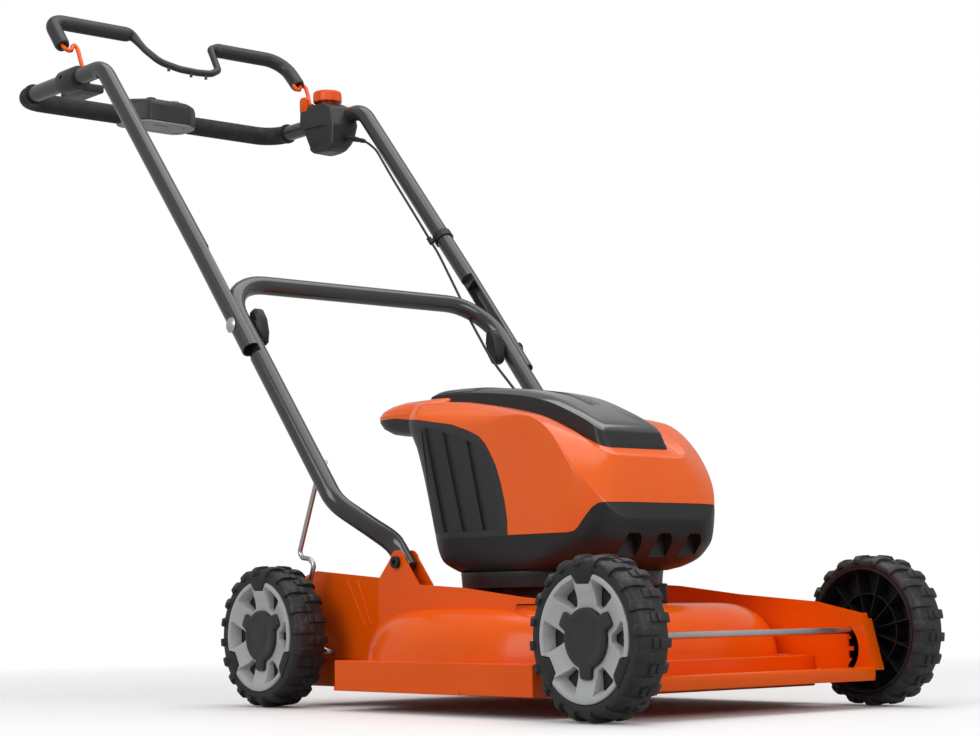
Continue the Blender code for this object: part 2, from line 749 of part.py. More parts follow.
def build_height_lever(parent, looks):
    # Bent rod welded on the rear axle's stub; it rises between the rear plate and the wheel.
    foot = Vector((-LEVER_X, WHEELBASE / 2, WHEEL_RADIUS))
    knee = Vector((-LEVER_X, 0.275, 0.163))
    foot += (knee - foot).normalized() * (AXLE_RADIUS + GAP)
    points = [
        foot, knee, (-LEVER_X, 0.268, 0.180), (-LEVER_X, 0.277, 0.188), (-LEVER_X, 0.294, 0.190),
        (-LEVER_X, 0.300, 0.197), (-LEVER_X, 0.263, 0.284), (-LEVER_X, 0.256, 0.302),
        (-LEVER_X, 0.240, 0.312),
    ]
    rod = tube(rounded_corners(points, (0.006,) * 7, 2), LEVER_RADIUS, 2)
    finish(rod, "height_lever", looks["steel"], parent)


# Blade drive

def blade_shape():
    # Flat bar with a lifted wing behind each cutting end.
    half = BLADE_LENGTH / 2
    w = BLADE_WIDTH / 2
    top = BLADE_Z + BLADE_THICKNESS
    bar = block((-half, DECK_Y - w, BLADE_Z), (half, DECK_Y + w, top))
    for side in (-1, 1):
        trailing = DECK_Y + side * w
        outline = [(trailing, top - 0.001), (trailing - side * 0.014, top - 0.001), (trailing, top + 0.010)]
        wing = prism(outline, "x", *sorted((side * half * 0.68, side * (half - 0.0004))))
        bar = fuse(bar, wing)
        leading = DECK_Y - side * w
        outline = [(leading - side * 0.001, BLADE_Z - 0.001), (leading + side * 0.013, BLADE_Z - 0.001),
                   (leading - side * 0.001, top - 0.0005)]
        bar = cut(bar, prism(outline, "x", *sorted((side * half * 0.62, side * (half + 0.001)))))
    return cut(bar, cylinder("z", (0, DECK_Y, 0), BOLT_RADIUS + PLAY, BLADE_Z - 0.01, BLADE_Z + 0.03, 16))


def build_blade_drive(parent, looks):
    centre = (0, DECK_Y, 0)
    seat = BLADE_Z + BLADE_THICKNESS + GAP
    depth = seat + 0.012
    profile = [
        (0, MOTOR_TOP - 0.006), (SHAFT_RADIUS, MOTOR_TOP - 0.006), (SHAFT_RADIUS, seat + 0.012),
        (0.026, seat + 0.006),
        (0.030, seat), (BOLT_RADIUS + PLAY, seat), (BOLT_RADIUS + PLAY, depth), (0, depth),
    ]
    finish(turned(profile, "z", centre, 24), "blade_spindle", looks["alloy"], parent)
    finish(blade_shape(), "blade", looks["steel"], parent, 0)
    low = BLADE_Z - GAP
    head = cylinder("z", centre, 0.0085, low - 0.0085, low - 0.002, 6)
    flange = cylinder("z", centre, 0.016, low - 0.0025, low, 20)
    shank = cylinder("z", centre, BOLT_RADIUS, low - 0.001, depth - GAP, 16)
    finish(fuse(flange, head, shank), "blade_bolt", looks["steel"], parent)


def build_motor(parent, looks):
    centre = (0, DECK_Y, 0)
    seat = DOME_TOP + GAP
    top = SKIRT_RING_BOTTOM - GAP
    bore = SHAFT_RADIUS + PLAY
    profile = [(bore, seat), (MOTOR_RADIUS, seat), (MOTOR_RADIUS, MOTOR_TOP - 0.004),
               (MOTOR_RADIUS - 0.004, MOTOR_TOP), (bore, MOTOR_TOP)]
    finish(turned(profile, "z", centre, 32), "motor", looks["alloy"], parent)
    mount = ring("z", centre, MOTOR_RADIUS + MOUNT_CLEARANCE, MOTOR_RADIUS + 0.030, seat, top, 28)
    for k in range(4):
        post = cylinder("z", (0.107, 0, 0), 0.014, seat, top, 10)
        web = block((MOTOR_RADIUS + 0.026, -0.003, seat), (0.098, 0.003, top))
        turn = Matrix.Translation(centre) @ Matrix.Rotation(math.radians(45 + 90 * k), 4, "Z")
        mount = fuse(mount, moved(post, turn), moved(web, turn))
    finish(mount, "motor_mount", looks["black"], parent)
    skirt_top = HOOD_BOTTOM - GAP
    outer = [(0, SKIRT_RING_BOTTOM), (SKIRT_RING_RADIUS - 0.002, SKIRT_RING_BOTTOM),
             (SKIRT_RING_RADIUS, skirt_top), (0, skirt_top)]
    skirt = turned(outer, "z", (0, SKIRT_RING_Y, 0), 40)
    room = MOTOR_RADIUS + MOUNT_CLEARANCE
    skirt = cut(skirt, cylinder("z", centre, room, SKIRT_RING_BOTTOM - 0.01, skirt_top + 0.01, 32))
    finish(skirt, "motor_skirt", looks["black"], parent)


# Hood

def rounded_plan(half, front, rear, front_radius, rear_radius, steps=4):
    points = []
    corners = (
        (half - front_radius, front + front_radius, front_radius, -90),
        (half - rear_radius, rear - rear_radius, rear_radius, 0),
        (-half + rear_radius, rear - rear_radius, rear_radius, 90),
        (-half + front_radius, front + front_radius, front_radius, 180),
    )
    for x, y, radius, start in corners:
        for k in range(steps + 1):
            angle = math.radians(start + 90 * k / steps)
            points.append((x + radius * math.cos(angle), y + radius * math.sin(angle)))
    return points


def loft(levels, inset=0.0):
    # Skins a stack of rounded plans; a level is height, half width, front, rear and corner radii.
    bm = bmesh.new()
    rings = []
    for z, half, front, rear, rf, rr in levels:
        plan = rounded_plan(half - inset, front + inset, rear - inset, rf - inset * 0.5, rr - inset * 0.5)
        rings.append([bm.verts.new((x, y, z)) for x, y in plan])
    count = len(rings[0])
    for a, b in zip(rings, rings[1:]):
        for k in range(count):
            bm.faces.new((a[k], a[(k + 1) % count], b[(k + 1) % count], b[k]))
    bm.faces.new(list(reversed(rings[0])))
    bm.faces.new(rings[-1])
    return solid(bm)


def hood_levels():
    return [
        (HOOD_BOTTOM, 0.116, -0.120, 0.122, 0.100, 0.100),
        (0.182, 0.120, -0.168, 0.136, 0.078, 0.070),
        (0.205, 0.120, -0.182, 0.140, 0.068, 0.060),
        (0.245, 0.118, -0.186, 0.152, 0.064, 0.058),
        (0.285, 0.116, -0.180, 0.166, 0.064, 0.056),
        (0.310, 0.114, -0.165, 0.176, 0.062, 0.055),
        (0.328, 0.111, -0.146, 0.184, 0.060, 0.055),
        (0.346, 0.107, -0.115, 0.196, 0.055, 0.055),
        (0.357, 0.098, -0.080, 0.206, 0.050, 0.055),
        (0.369, 0.086, -0.030, 0.216, 0.045, 0.055),
        (0.381, 0.074, 0.050, 0.226, 0.040, 0.050),
        (0.390, 0.060, 0.120, 0.232, 0.030, 0.045),
        (0.397, 0.044, 0.170, 0.236, 0.020, 0.030),
    ]


def beak_levels():
    # Carry handle that reaches out behind the hood.
    return [
        (0.350, 0.078, 0.150, 0.262, 0.020, 0.050),
        (0.361, 0.088, 0.150, 0.290, 0.020, 0.060),
        (0.375, 0.090, 0.150, 0.298, 0.020, 0.060),
        (0.386, 0.082, 0.150, 0.284, 0.020, 0.056),
        (0.394, 0.062, 0.150, 0.256, 0.020, 0.045),
    ]


def hood_form():
    hood = fuse(loft(hood_levels()), loft(beak_levels()))
    return cut(hood, finger_pocket())


def finger_pocket():
    return bevelled(block((-0.052, 0.222, 0.330), (0.052, 0.268, 0.378)), 0.006, 60, 2)


def hood_cavity():
    levels = [(z, *rest) for z, *rest in hood_levels() if z <= 0.36]
    levels[0] = (HOOD_BOTTOM + HOOD_WALL, *levels[0][1:])
    return loft(levels, HOOD_WALL)


def base_outline(gap):
    side = BASE_TOP + gap
    front = FRONT_BASE_TOP + gap
    return [(0.35, 0.10), (0.35, side), (-0.140, side), (-0.148, side + 0.004), (-0.168, front - 0.003),
            (-0.174, front), (-0.30, front), (-0.30, 0.10)]


def rear_outline(gap):
    low = BASE_TOP + GAP
    split = BEAK_SPLIT + gap
    front = [(-0.035, low), (-0.034, 0.227), (-0.020, 0.273), (0.002, 0.313), (0.024, 0.333), (0.079, 0.351)]
    front = [(y - gap, z + (gap if k else 0)) for k, (y, z) in enumerate(front)]
    return front + [(0.150, 0.360 + gap), (0.215, split), (0.40, split), (0.40, low)]


def lid_floor():
    # Side view of the seat that the lid closes on, from the front ledge to the hinge.
    return [(-0.1400, 0.3115), (-0.060, 0.3445), (0.005, 0.3635), (0.095, 0.3795), (LID_REAR, 0.3875)]


def lid_pocket():
    floor = lid_floor()
    rear = LID_REAR + 0.001
    outline = [(-0.215, 0.292)] + floor + [(rear, 0.3875), (rear, 0.45), (-0.215, 0.45)]
    return prism(outline, "x", -LID_HALF_WIDTH - 0.001, LID_HALF_WIDTH + 0.001)


def lid_seat():
    # Material kept under the lid, as thick as the hood's wall.
    floor = [(y, z - HOOD_WALL) for y, z in lid_floor()]
    outline = [(-0.20, 0.300)] + floor + [(0.28, 0.3845), (0.28, 0.45), (-0.20, 0.45)]
    half = LID_HALF_WIDTH + 0.001 + HOOD_WALL
    return prism(outline, "x", -half, half)


def arch_cutter(x, width, height):
    outline = [(-width / 2, 0.10), (width / 2, 0.10)]
    for k in range(7):
        angle = math.pi * k / 6
        outline.append((width / 2 * math.cos(angle), height + width * 0.3 * math.sin(angle)))
    cutter = prism(outline, "y", -0.30, -0.168)
    return moved(cutter, Matrix.Translation((x, 0, 0)))


def build_hood(parent, looks):
    base = shared(hood_form(), prism(base_outline(0), "x", -0.2, 0.2))
    base = cut(base, hood_cavity())
    base = fuse(base, battery_bay())
    base = cut(base, cylinder("z", (0, DECK_Y, 0), MOTOR_RADIUS + 0.003, 0.1, MOTOR_TOP + 0.003, 28))
    for k in range(-1, 2):
        base = cut(base, arch_cutter(k * 0.048, 0.026, 0.200))
    finish(base, "hood_base", looks["black"], parent, 28)

    rear = shared(hood_form(), prism(rear_outline(0), "x", -0.2, 0.2))
    rear = cut(rear, hood_cavity())
    for side in (-1, 1):
        rear = cut(rear, grille_recess(side))
    x, y, z = CABLE_ROUTE[-1]
    rear = fuse(rear, cylinder("y", (x, 0, z), GLAND_RADIUS, y - 0.017, y - GAP, 12))
    finish(rear, "rear_housing", looks["dark"], parent, 28)

    below = prism(base_outline(GAP), "x", -0.2, 0.2)
    behind = prism(rear_outline(GAP), "x", -0.2, 0.2)
    shell = cut(hood_form(), below, behind)
    shell = cut(shell, cut(hood_cavity(), lid_seat()), lid_pocket())
    half_x, half_y = BATTERY[0] / 2 + 0.002, BATTERY[1] / 2 + 0.002
    opening = block((-half_x, BATTERY_Y - half_y, 0.30), (half_x, BATTERY_Y + half_y, 0.42))
    shell = cut(shell, opening, lid_pin(PLAY, LID_HALF_WIDTH + 0.0075))
    finish(shell, "hood_shell", looks["orange"], parent, 28)


def grille_recess(side):
    # Shallow bays between the upright ribs of the side grille.
    cutters = None
    for low, high in ((0.006, 0.040), (0.043, 0.077), (0.080, 0.112)):
        lean = 0.020
        outline = [(low, 0.222), (high, 0.222), (high + lean, 0.322 + high * 0.15),
                   (low + lean, 0.322 + low * 0.15)]
        x_low, x_high = sorted((side * 0.1125, side * 0.14))
        bay = prism(outline, "x", x_low, x_high)
        cutters = bay if cutters is None else fuse(cutters, bay)
    return cutters


def lid_outline():
    # Side view of the lid; its rear end is round about the hinge pin.
    arc = []
    for k in range(6):
        angle = math.radians(-90 + 180 * k / 5)
        arc.append((LID_PIN_Y + LID_PIN_ROUND * math.cos(angle), LID_PIN_Z + LID_PIN_ROUND * math.sin(angle)))
    floor = [(y, z + GAP) for y, z in lid_floor()[:-1]]
    crown = [(0.113, 0.3985), (0.044, 0.3920), (-0.045, 0.3780), (-0.090, 0.3620), (-0.118, 0.3420),
             (-0.127, 0.3330)]
    return floor + arc + crown


def lid_shape():
    lid = prism(lid_outline(), "x", -LID_HALF_WIDTH, LID_HALF_WIDTH)
    bm = bmesh.new()
    bm.from_mesh(lid.data)
    edges = [e for e in bm.edges if is_crown_edge(e)]
    bmesh.ops.bevel(bm, geom=edges, offset=0.006, segments=2, profile=0.5, affect="EDGES", clamp_overlap=True)
    bm.to_mesh(lid.data)
    bm.free()
    floor = lid_floor()
    inner = [(floor[0][0] + 0.008, floor[0][1] - 0.004), (floor[1][0], floor[1][1] - 0.004),
             (floor[2][0], floor[2][1] - 0.004), (floor[3][0], floor[3][1] - 0.004),
             (LID_PIN_Y - 0.012, LID_PIN_Z - 0.009), (LID_PIN_Y - 0.012, 0.3925), (0.113, 0.3945),
             (0.044, 0.3880), (-0.045, 0.3735), (-0.090, 0.3570), (-0.112, 0.3400)]
    return cut(lid, prism(inner, "x", -LID_HALF_WIDTH + 0.007, LID_HALF_WIDTH - 0.007))


def is_crown_edge(edge):
    # Long edges of the lid's top, at either side.
    a, b = edge.verts
    on_side = abs(a.co.x - b.co.x) < 1e-6
    crown_z = {round(z, 4) for _, z in lid_outline()[10:]}
    return on_side and round(a.co.z, 4) in crown_z and round(b.co.z, 4) in crown_z


def build_lid(parent, looks):
    # The hinge pegs are moulded on the lid and turn in the hood.
    lid = fuse(lid_shape(), lid_pin(0.0, LID_HALF_WIDTH + 0.007))
    finish(lid, "battery_lid", looks["gloss"], parent, 28)


def lid_pin(extra, half):
    return cylinder("x", (0, LID_PIN_Y, LID_PIN_Z), LID_PIN_RADIUS + extra, -half, half, 12)


def battery_bay():
    # Tray of the battery, carried on walls round the motor.
    w, d, _ = BATTERY
    wall, slack = 0.004, 0.0006
    low_y, high_y = BATTERY_Y - d / 2 - slack, BATTERY_Y + d / 2 + slack
    half = w / 2 + slack
    bay = block((-half - wall, low_y - wall, HOOD_BOTTOM + HOOD_WALL - 0.001),
                (half + wall, high_y + wall, BATTERY_Z + 0.060))
    bay = cut(bay, block((-half, low_y, BATTERY_Z - GAP), (half, high_y, 0.4)))
    return cut(bay, block((-half, low_y, 0.1), (half, high_y, BATTERY_Z - wall)))


def build_battery(parent, looks):
    w, d, h = BATTERY
    pack = block((-w / 2, BATTERY_Y - d / 2, BATTERY_Z), (w / 2, BATTERY_Y + d / 2, BATTERY_Z + h))
    finish(bevelled(pack, 0.006, 60), "battery", looks["dark"], parent)


def build_controller(parent, looks):
    low = (-0.036, DECK_Y - MOTOR_RADIUS - 0.045, HOOD_BOTTOM + HOOD_WALL + GAP)
    high = (0.036, DECK_Y - MOTOR_RADIUS - 0.008, low[2] + 0.038)
    finish(bevelled(block(low, high), 0.002, 60), "motor_controller", looks["alloy"], parent)


# Handle

def along(distance, x=0.0):
    # A point on the leg's line at a distance from the ear bolt.
    return (x, EAR_Y + distance * math.cos(HANDLE_ANGLE), EAR_Z + distance * math.sin(HANDLE_ANGLE))


def lined(shape, distance):
    # Turns a shape modelled along +Y so that it follows the leg's line from a point on it.
    turn = Matrix.Rotation(HANDLE_ANGLE, 4, "X")
    return moved(shape, Matrix.Translation(along(distance)) @ turn)


def ear_middle():
    return (OUTER_PLATE_X - PLATE + INNER_PLATE_X) / 2


def cross_bolt_hole(side, distance, low=0.14, high=0.27):
    return cylinder("x", along(distance), BOLT_RADIUS + PLAY, *sorted((side * low, side * high)), 12)


def lower_handle_path():
    half = [(ear_middle(), -0.012), (ear_middle(), 0.032), (LEG_X, 0.098), (LEG_X, CROSSBAR_AT)]
    left = [along(s, x) for x, s in half]
    right = [along(s, -x) for x, s in reversed(half)]
    radii = (0.045, 0.045, CROSSBAR_CORNER, CROSSBAR_CORNER, 0.045, 0.045)
    return rounded_corners(left + right, radii)


def pressed_ends(obj, thickness):
    # Squeezes both ends of the tube between their ears and lets them spread the other way.
    start, full = 0.066, 0.030
    c, s = math.cos(HANDLE_ANGLE), math.sin(HANDLE_ANGLE)
    middle = ear_middle()
    for v in obj.data.vertices:
        dy, dz = v.co.y - EAR_Y, v.co.z - EAR_Z
        run = dy * c + dz * s
        share = min(1.0, max(0.0, (start - run) / (start - full)))
        share = share * share * (3 - 2 * share)
        thin = 1 + (thickness / 2 / TUBE_RADIUS - 1) * share
        lean = middle if run < full else min(middle + (run - full) * 0.9, abs(v.co.x))
        side = 1 if v.co.x > 0 else -1
        v.co.x = side * (lean + (abs(v.co.x) - lean) * thin)
        spread = (-dy * s + dz * c) * 0.15 * share
        v.co.y -= spread * s
        v.co.z += spread * c
    return obj


def build_lower_handle(parent, looks):
    room = OUTER_PLATE_X - PLATE - INNER_PLATE_X - 2 * GAP
    handle = tube(lower_handle_path(), TUBE_RADIUS, 3)
    handle = pressed_ends(handle, room)
    for side in (-1, 1):
        low, high = sorted((side * (CHANNEL_X - GAP), side * (CHANNEL_X + 0.03)))
        dent = block((low, -CHANNEL_TAIL - 0.012, -0.03), (high, 0.080, 0.03))
        handle = cut(handle, lined(dent, FOLD_AT), cross_bolt_hole(side, FOLD_AT), cross_bolt_hole(side, 0.0))
    finish(handle, "lower_handle", looks["tube"], parent, 40)


def build_ear_bolts(parent, looks):
    outer = OUTER_PLATE_X + GAP
    inner = INNER_PLATE_X - PLATE - GAP
    centre = (0, EAR_Y, EAR_Z)
    head = cylinder("x", centre, EAR_BOLT_HEAD, outer, outer + 0.005, 14)
    shank = cylinder("x", centre, BOLT_RADIUS, inner - 0.009, outer + 0.001, 9)
    nut = cylinder("x", centre, EAR_BOLT_HEAD, inner - 0.006, inner, 6)
    socket = cylinder("x", centre, 0.0032, outer + 0.002, outer + 0.02, 6)
    bolt = cut(fuse(head, shank, nut), socket)
    finish(mirrored(bolt), "right_ear_bolt", looks["black"], parent)
    finish(bolt, "left_ear_bolt", looks["black"], parent)


def upper_handle_path():
    # One channel end, the bend under the controls and the corner of the grip bar, and back.
    foot = along(FOLD_AT - CHANNEL_TAIL, UPPER_X)
    kink = along(FOLD_AT + CHANNEL_LENGTH, UPPER_X)
    left = [foot, kink, (UPPER_X, UPPER_BEND_Y, BAR_Z), (UPPER_X, BAR_Y, BAR_Z)]
    right = [(-x, y, z) for x, y, z in reversed(left)]
    radii = (0.02, UPPER_BEND_RADIUS, GRIP_CORNER, GRIP_CORNER, UPPER_BEND_RADIUS, 0.02)
    return rounded_corners(left + right, radii)


def build_upper_handle(parent, looks):
    handle = tube(upper_handle_path(), TUBE_RADIUS, 3)
    for side in (-1, 1):
        low, high = sorted((side * (CHANNEL_X - 0.05), side * CHANNEL_X))
        opening = block((low, -CHANNEL_TAIL - 0.02, -0.03), (high, CHANNEL_LENGTH, 0.03))
        bore = cylinder("y", (side * UPPER_X, 0, 0), TUBE_RADIUS - 0.002,
                        -CHANNEL_TAIL - 0.02, CHANNEL_LENGTH - 0.012, 12)
        handle = cut(handle, lined(opening, FOLD_AT), lined(bore, FOLD_AT), cross_bolt_hole(side, FOLD_AT))
    finish(handle, "upper_handle", looks["tube"], parent, 40)


def fold_bolt_shape():
    # Carriage bolt from the outer tube to the wing knob.
    seat = UPPER_X + TUBE_RADIUS + GAP
    end = LEG_X - TUBE_RADIUS - GAP - 0.016
    profile = [(0, seat + 0.0042), (FOLD_BOLT_HEAD * 0.6, seat + 0.0034), (FOLD_BOLT_HEAD, seat + 0.0008),
               (FOLD_BOLT_HEAD, seat), (BOLT_RADIUS, seat), (BOLT_RADIUS, end), (0, end)]
    return turned(profile, "x", along(FOLD_AT), 14)


def build_fold_bolts(parent, looks):
    bolt = fold_bolt_shape()
    finish(mirrored(bolt), "right_fold_bolt", looks["bright"], parent)
    finish(bolt, "left_fold_bolt", looks["bright"], parent)


def build_wing_knob(side, parent, looks):
    # Faceted wing nut on the inner end of the fold bolt.
    outer = LEG_X - TUBE_RADIUS - GAP
    low, high = sorted((side * (outer - KNOB_DEPTH), side * (outer - KNOB_BOSS)))
    outline = [(-0.026, -0.007), (-0.010, -0.013), (0.010, -0.013), (0.026, -0.007),
               (0.026, 0.007), (0.010, 0.013), (-0.010, 0.013), (-0.026, 0.007)]
    knob = bevelled(prism(outline, "x", low, high), 0.004, 50)
    knob = lined(moved(knob, Matrix.Rotation(math.radians(25), 4, "X")), FOLD_AT)
    boss_low, boss_high = sorted((side * (outer - KNOB_BOSS - 0.002), side * outer))
    knob = fuse(knob, cylinder("x", along(FOLD_AT), KNOB_BOSS_RADIUS, boss_low, boss_high, 14))
    blind_low, blind_high = sorted((side * (outer - 0.0165), side * (outer + 0.02)))
    knob = cut(knob, cylinder("x", along(FOLD_AT), BOLT_RADIUS + PLAY, blind_low, blind_high, 12))
    name = "right_wing_knob" if side < 0 else "left_wing_knob"
    finish(knob, name, looks["black"], parent)


def build_grips(parent, looks):
    # Foam sleeves on the grip bar, from the middle panel round both corners.
    low_y = BAR_Y - GRIP_RETURN
    for side, name in ((-1, "right_grip"), (1, "left_grip")):
        path = [(side * (PANEL_HALF_WIDTH + GAP), BAR_Y, BAR_Z), (side * UPPER_X, BAR_Y, BAR_Z),
                (side * UPPER_X, low_y, BAR_Z)]
        outer = tube(rounded_corners(path, (GRIP_CORNER,)), GRIP_RADIUS, 4)
        path[0] = (side * (PANEL_HALF_WIDTH - 0.01), BAR_Y, BAR_Z)
        path[2] = (side * UPPER_X, low_y - 0.01, BAR_Z)
        inner = tube(rounded_corners(path, (GRIP_CORNER,)), (TUBE_RADIUS + GAP) / math.cos(math.pi / 10), 3)
        finish(cut(outer, inner), name, looks["foam"], parent, 40)


# Controls

def bar_clearance(y_low, y_high, side):
    # Bore round the straight run of the upper tube.
    radius = (TUBE_RADIUS + GAP) / math.cos(math.pi / 12)
    return cylinder("y", (side * UPPER_X, 0, BAR_Z), radius, y_low, y_high, 12)


def on_bail(x, distance):
    # A point on the resting bail at a distance from its pivot.
    return (x, BAIL_PIVOT_Y + distance * math.cos(BAIL_ANGLE), BAIL_PIVOT_Z + distance * math.sin(BAIL_ANGLE))


def build_bail_bearing(parent, looks):
    # Clamp on the right tube with the bearing of the bail's right rod beside it.
    collar = cylinder("y", (-UPPER_X, 0, BAR_Z - 0.002), 0.0185, 0.800, 0.843, 16)
    arm = block((-UPPER_X + 0.004, 0.803, BAR_Z - 0.019), (-0.194, 0.862, BAR_Z - 0.006))
    cheek = block((-0.2235, 0.826, BAR_Z - 0.010), (-0.205, 0.862, BAIL_PIVOT_Z + 0.008))
    bearing = fuse(collar, bevelled(arm, 0.003, 60), bevelled(cheek, 0.003, 60))
    bearing = cut(bearing, bar_clearance(0.79, 0.88, -1))
    hole = cylinder("x", (0, BAIL_PIVOT_Y, BAIL_PIVOT_Z), BAIL_ROD_RADIUS + PLAY, -0.2205, -0.18, 12)
    screw_hole = cylinder("x", (0, 0.826, BAR_Z + 0.002), 0.0035, -0.27, -0.253, 12)
    finish(cut(bearing, hole, screw_hole), "bail_bearing", looks["dark"], parent)


def box_outline():
    return [(0.880, BOX_TOP), (0.880, 0.914), (0.866, 0.893), (0.853, 0.869), (0.795, 0.849), (0.736, 0.854),
            (0.716, 0.880), (0.716, 0.896), (0.729, 0.922), (0.786, 0.939), (0.800, BOX_TOP)]


def build_control_box(parent, looks):
    # Switch box inside the left tube, with a clamp round the tube and a roof over it.
    inner_x = UPPER_X - TUBE_RADIUS - GAP
    body = bevelled(prism(box_outline(), "x", BOX_INNER_X, inner_x), 0.003, 60)
    roof_low = BAR_Z + TUBE_RADIUS + GAP
    roof = block((BOX_INNER_X + 0.004, 0.784, roof_low - 0.004), (0.2435, 0.876, BOX_TOP))
    roof = bevelled(roof, 0.002, 60)
    clamp = cylinder("y", (UPPER_X, 0, BAR_Z), 0.0185, 0.795, 0.850, 16)
    box = fuse(body, roof, clamp)
    box = cut(box, bar_clearance(0.78, 0.89, 1))
    pin = cylinder("x", (0, BAIL_PIVOT_Y, BAIL_PIVOT_Z), BAIL_ROD_RADIUS + PLAY, 0.2085, 0.2325, 12)
    slot_half = BAIL_ROD_RADIUS + PLAY
    slot = block((0.228 - BAIL_SLOT, BAIL_PIVOT_Y - slot_half, BAIL_PIVOT_Z - slot_half),
                 (0.228 + BAIL_SLOT, 0.89, 0.96))
    well_floor = BOX_TOP - BUTTON_TRAVEL - 0.0035
    well = cylinder("z", (BUTTON_X, BUTTON_Y, 0), BUTTON_STEM + PLAY, well_floor, 0.96, 20)
    finish(fuse(cut(box, pin, slot, well), cable_boot()), "control_box", looks["dark"], parent)


def build_rod_guide(parent, looks):
    outline = [(0.862, BOX_TOP + GAP), (0.886, BOX_TOP + GAP), (0.885, 0.962), (0.874, 0.965), (0.864, 0.962)]
    finish(prism(outline, "x", 0.2045, 0.2145), "rod_guide", looks["orange"], parent)


def build_start_button(parent, looks):
    # Fluted button that stands clear of the box by its travel.
    outline = []
    for k in range(24):
        radius = BUTTON_RADIUS - (0.0012 if k % 2 else 0.0)
        angle = k * math.tau / 24
        outline.append((BUTTON_X + radius * math.cos(angle), BUTTON_Y + radius * math.sin(angle)))
    low = BOX_TOP + BUTTON_TRAVEL + GAP
    crown = prism(outline, "z", low, BOX_TOP + BUTTON_HEIGHT)
    stem = cylinder("z", (BUTTON_X, BUTTON_Y, 0), BUTTON_STEM, BOX_TOP - 0.0031, low + 0.001, 20)
    finish(fuse(crown, stem), "start_button", looks["orange"], parent, 25)


def panel_outline(inset=0.0):
    w = PANEL_HALF_WIDTH - inset
    y0, y1 = PANEL_Y[0] + inset, PANEL_Y[1] - inset
    return [(-w + 0.030, y0), (w - 0.030, y0), (w, y0 + 0.030), (w, y1 - 0.012), (w - 0.012, y1),
            (-w + 0.012, y1), (-w, y1 - 0.012), (-w, y0 + 0.030)]


def build_panel(parent, looks):
    # Upper shell with the keys, and a light base that closes it from below.
    shell = bevelled(prism(panel_outline(), "z", PANEL_Z[0] + 0.004, PANEL_Z[1]), 0.005, 60)
    room = prism(panel_outline(PANEL_SHELL), "z", 0.89, BAR_Z)
    shell = cut(shell, room, bar_bore())
    base = fuse(prism(panel_outline(PANEL_SHELL + GAP), "z", PANEL_Z[0], BAR_Z - GAP),
                prism(panel_outline(0.002), "z", PANEL_Z[0], PANEL_Z[0] + 0.0037))
    base = cut(base, bar_bore())
    for x in (-KEY_X, KEY_X):
        well = cylinder("z", (x, KEY_Y, 0), KEY_RADIUS + PLAY, PANEL_Z[1] - 0.005, 0.96, 16)
        shell = cut(shell, well)
    finish(shell, "panel_shell", looks["dark"], parent)
    finish(base, "panel_base", looks["grey"], parent)


def bar_bore():
    return cylinder("x", (0, BAR_Y, BAR_Z), (TUBE_RADIUS + GAP) / math.cos(math.pi / 16), -0.1, 0.1, 16)


def build_key(name, x, parent, look):
    low = PANEL_Z[1] - 0.005 + KEY_TRAVEL + GAP
    key = cylinder("z", (x, KEY_Y, 0), KEY_RADIUS, low, PANEL_Z[1] + KEY_TRAVEL + GAP, 16)
    finish(key, name, look, parent)


def build_bail(parent, looks):
    # Moulded bar with a dip that passes round the middle panel.
    top, dip = BAIL_REACH, BAIL_DIP
    half = [(0.0, dip), (BAIL_DIP_HALF - 0.018, dip), (BAIL_DIP_HALF, dip + 0.026),
            (BAIL_DIP_HALF + 0.003, top),
            (BAIL_HALF, top), (BAIL_HALF, BAIL_END)]
    corners = (0.016, 0.016, 0.008, 0.030)
    left = rounded_corners([on_bail(x, r) for x, r in half], corners)
    widths = [bail_width(p) for p in left]
    right = [(-x, y, z) for x, y, z in reversed(left[1:])]
    path = right + [tuple(p) for p in left]
    bar = tube(path, BAIL_RADIUS, 3, list(reversed(widths[1:])) + widths)
    finish(bar, "bail_bar", looks["dark"], parent, 40)
    for name, crank in (("left_bail_rod", rod_route_left()), ("right_bail_rod", rod_route_right())):
        rod = tube(rounded_corners(crank, (0.0035,) * (len(crank) - 2), 2), BAIL_ROD_RADIUS, 2)
        finish(rod, name, looks["orange"], parent)


def bail_width(point):
    # Full width on the bar, slim in the dip.
    inside = BAIL_DIP_HALF + 0.006 - abs(point[0])
    share = min(1.0, max(0.0, inside / 0.012))
    return 1 - share * (1 - BAIL_DIP_RADIUS / BAIL_RADIUS)


def rod_route_left():
    # From its bearing in the control box up through the slot, with a jog below the bar.
    end = BAIL_END - GAP
    x = BAIL_HALF
    return [(0.209, BAIL_PIVOT_Y, BAIL_PIVOT_Z), on_bail(0.228, 0.0), on_bail(0.228, 0.030),
            on_bail(x + 0.016, 0.064),
            on_bail(x, 0.052), on_bail(x, end)]


def rod_route_right():
    # The same jog leans to the same side, from the bearing inside the right tube.
    end = BAIL_END - GAP
    x = -BAIL_HALF
    return [(-0.220, BAIL_PIVOT_Y, BAIL_PIVOT_Z), on_bail(-0.2005, 0.0), on_bail(-0.2005, 0.030),
            on_bail(x + 0.021, 0.064),
            on_bail(x, 0.052), on_bail(x, end)]


# Cable

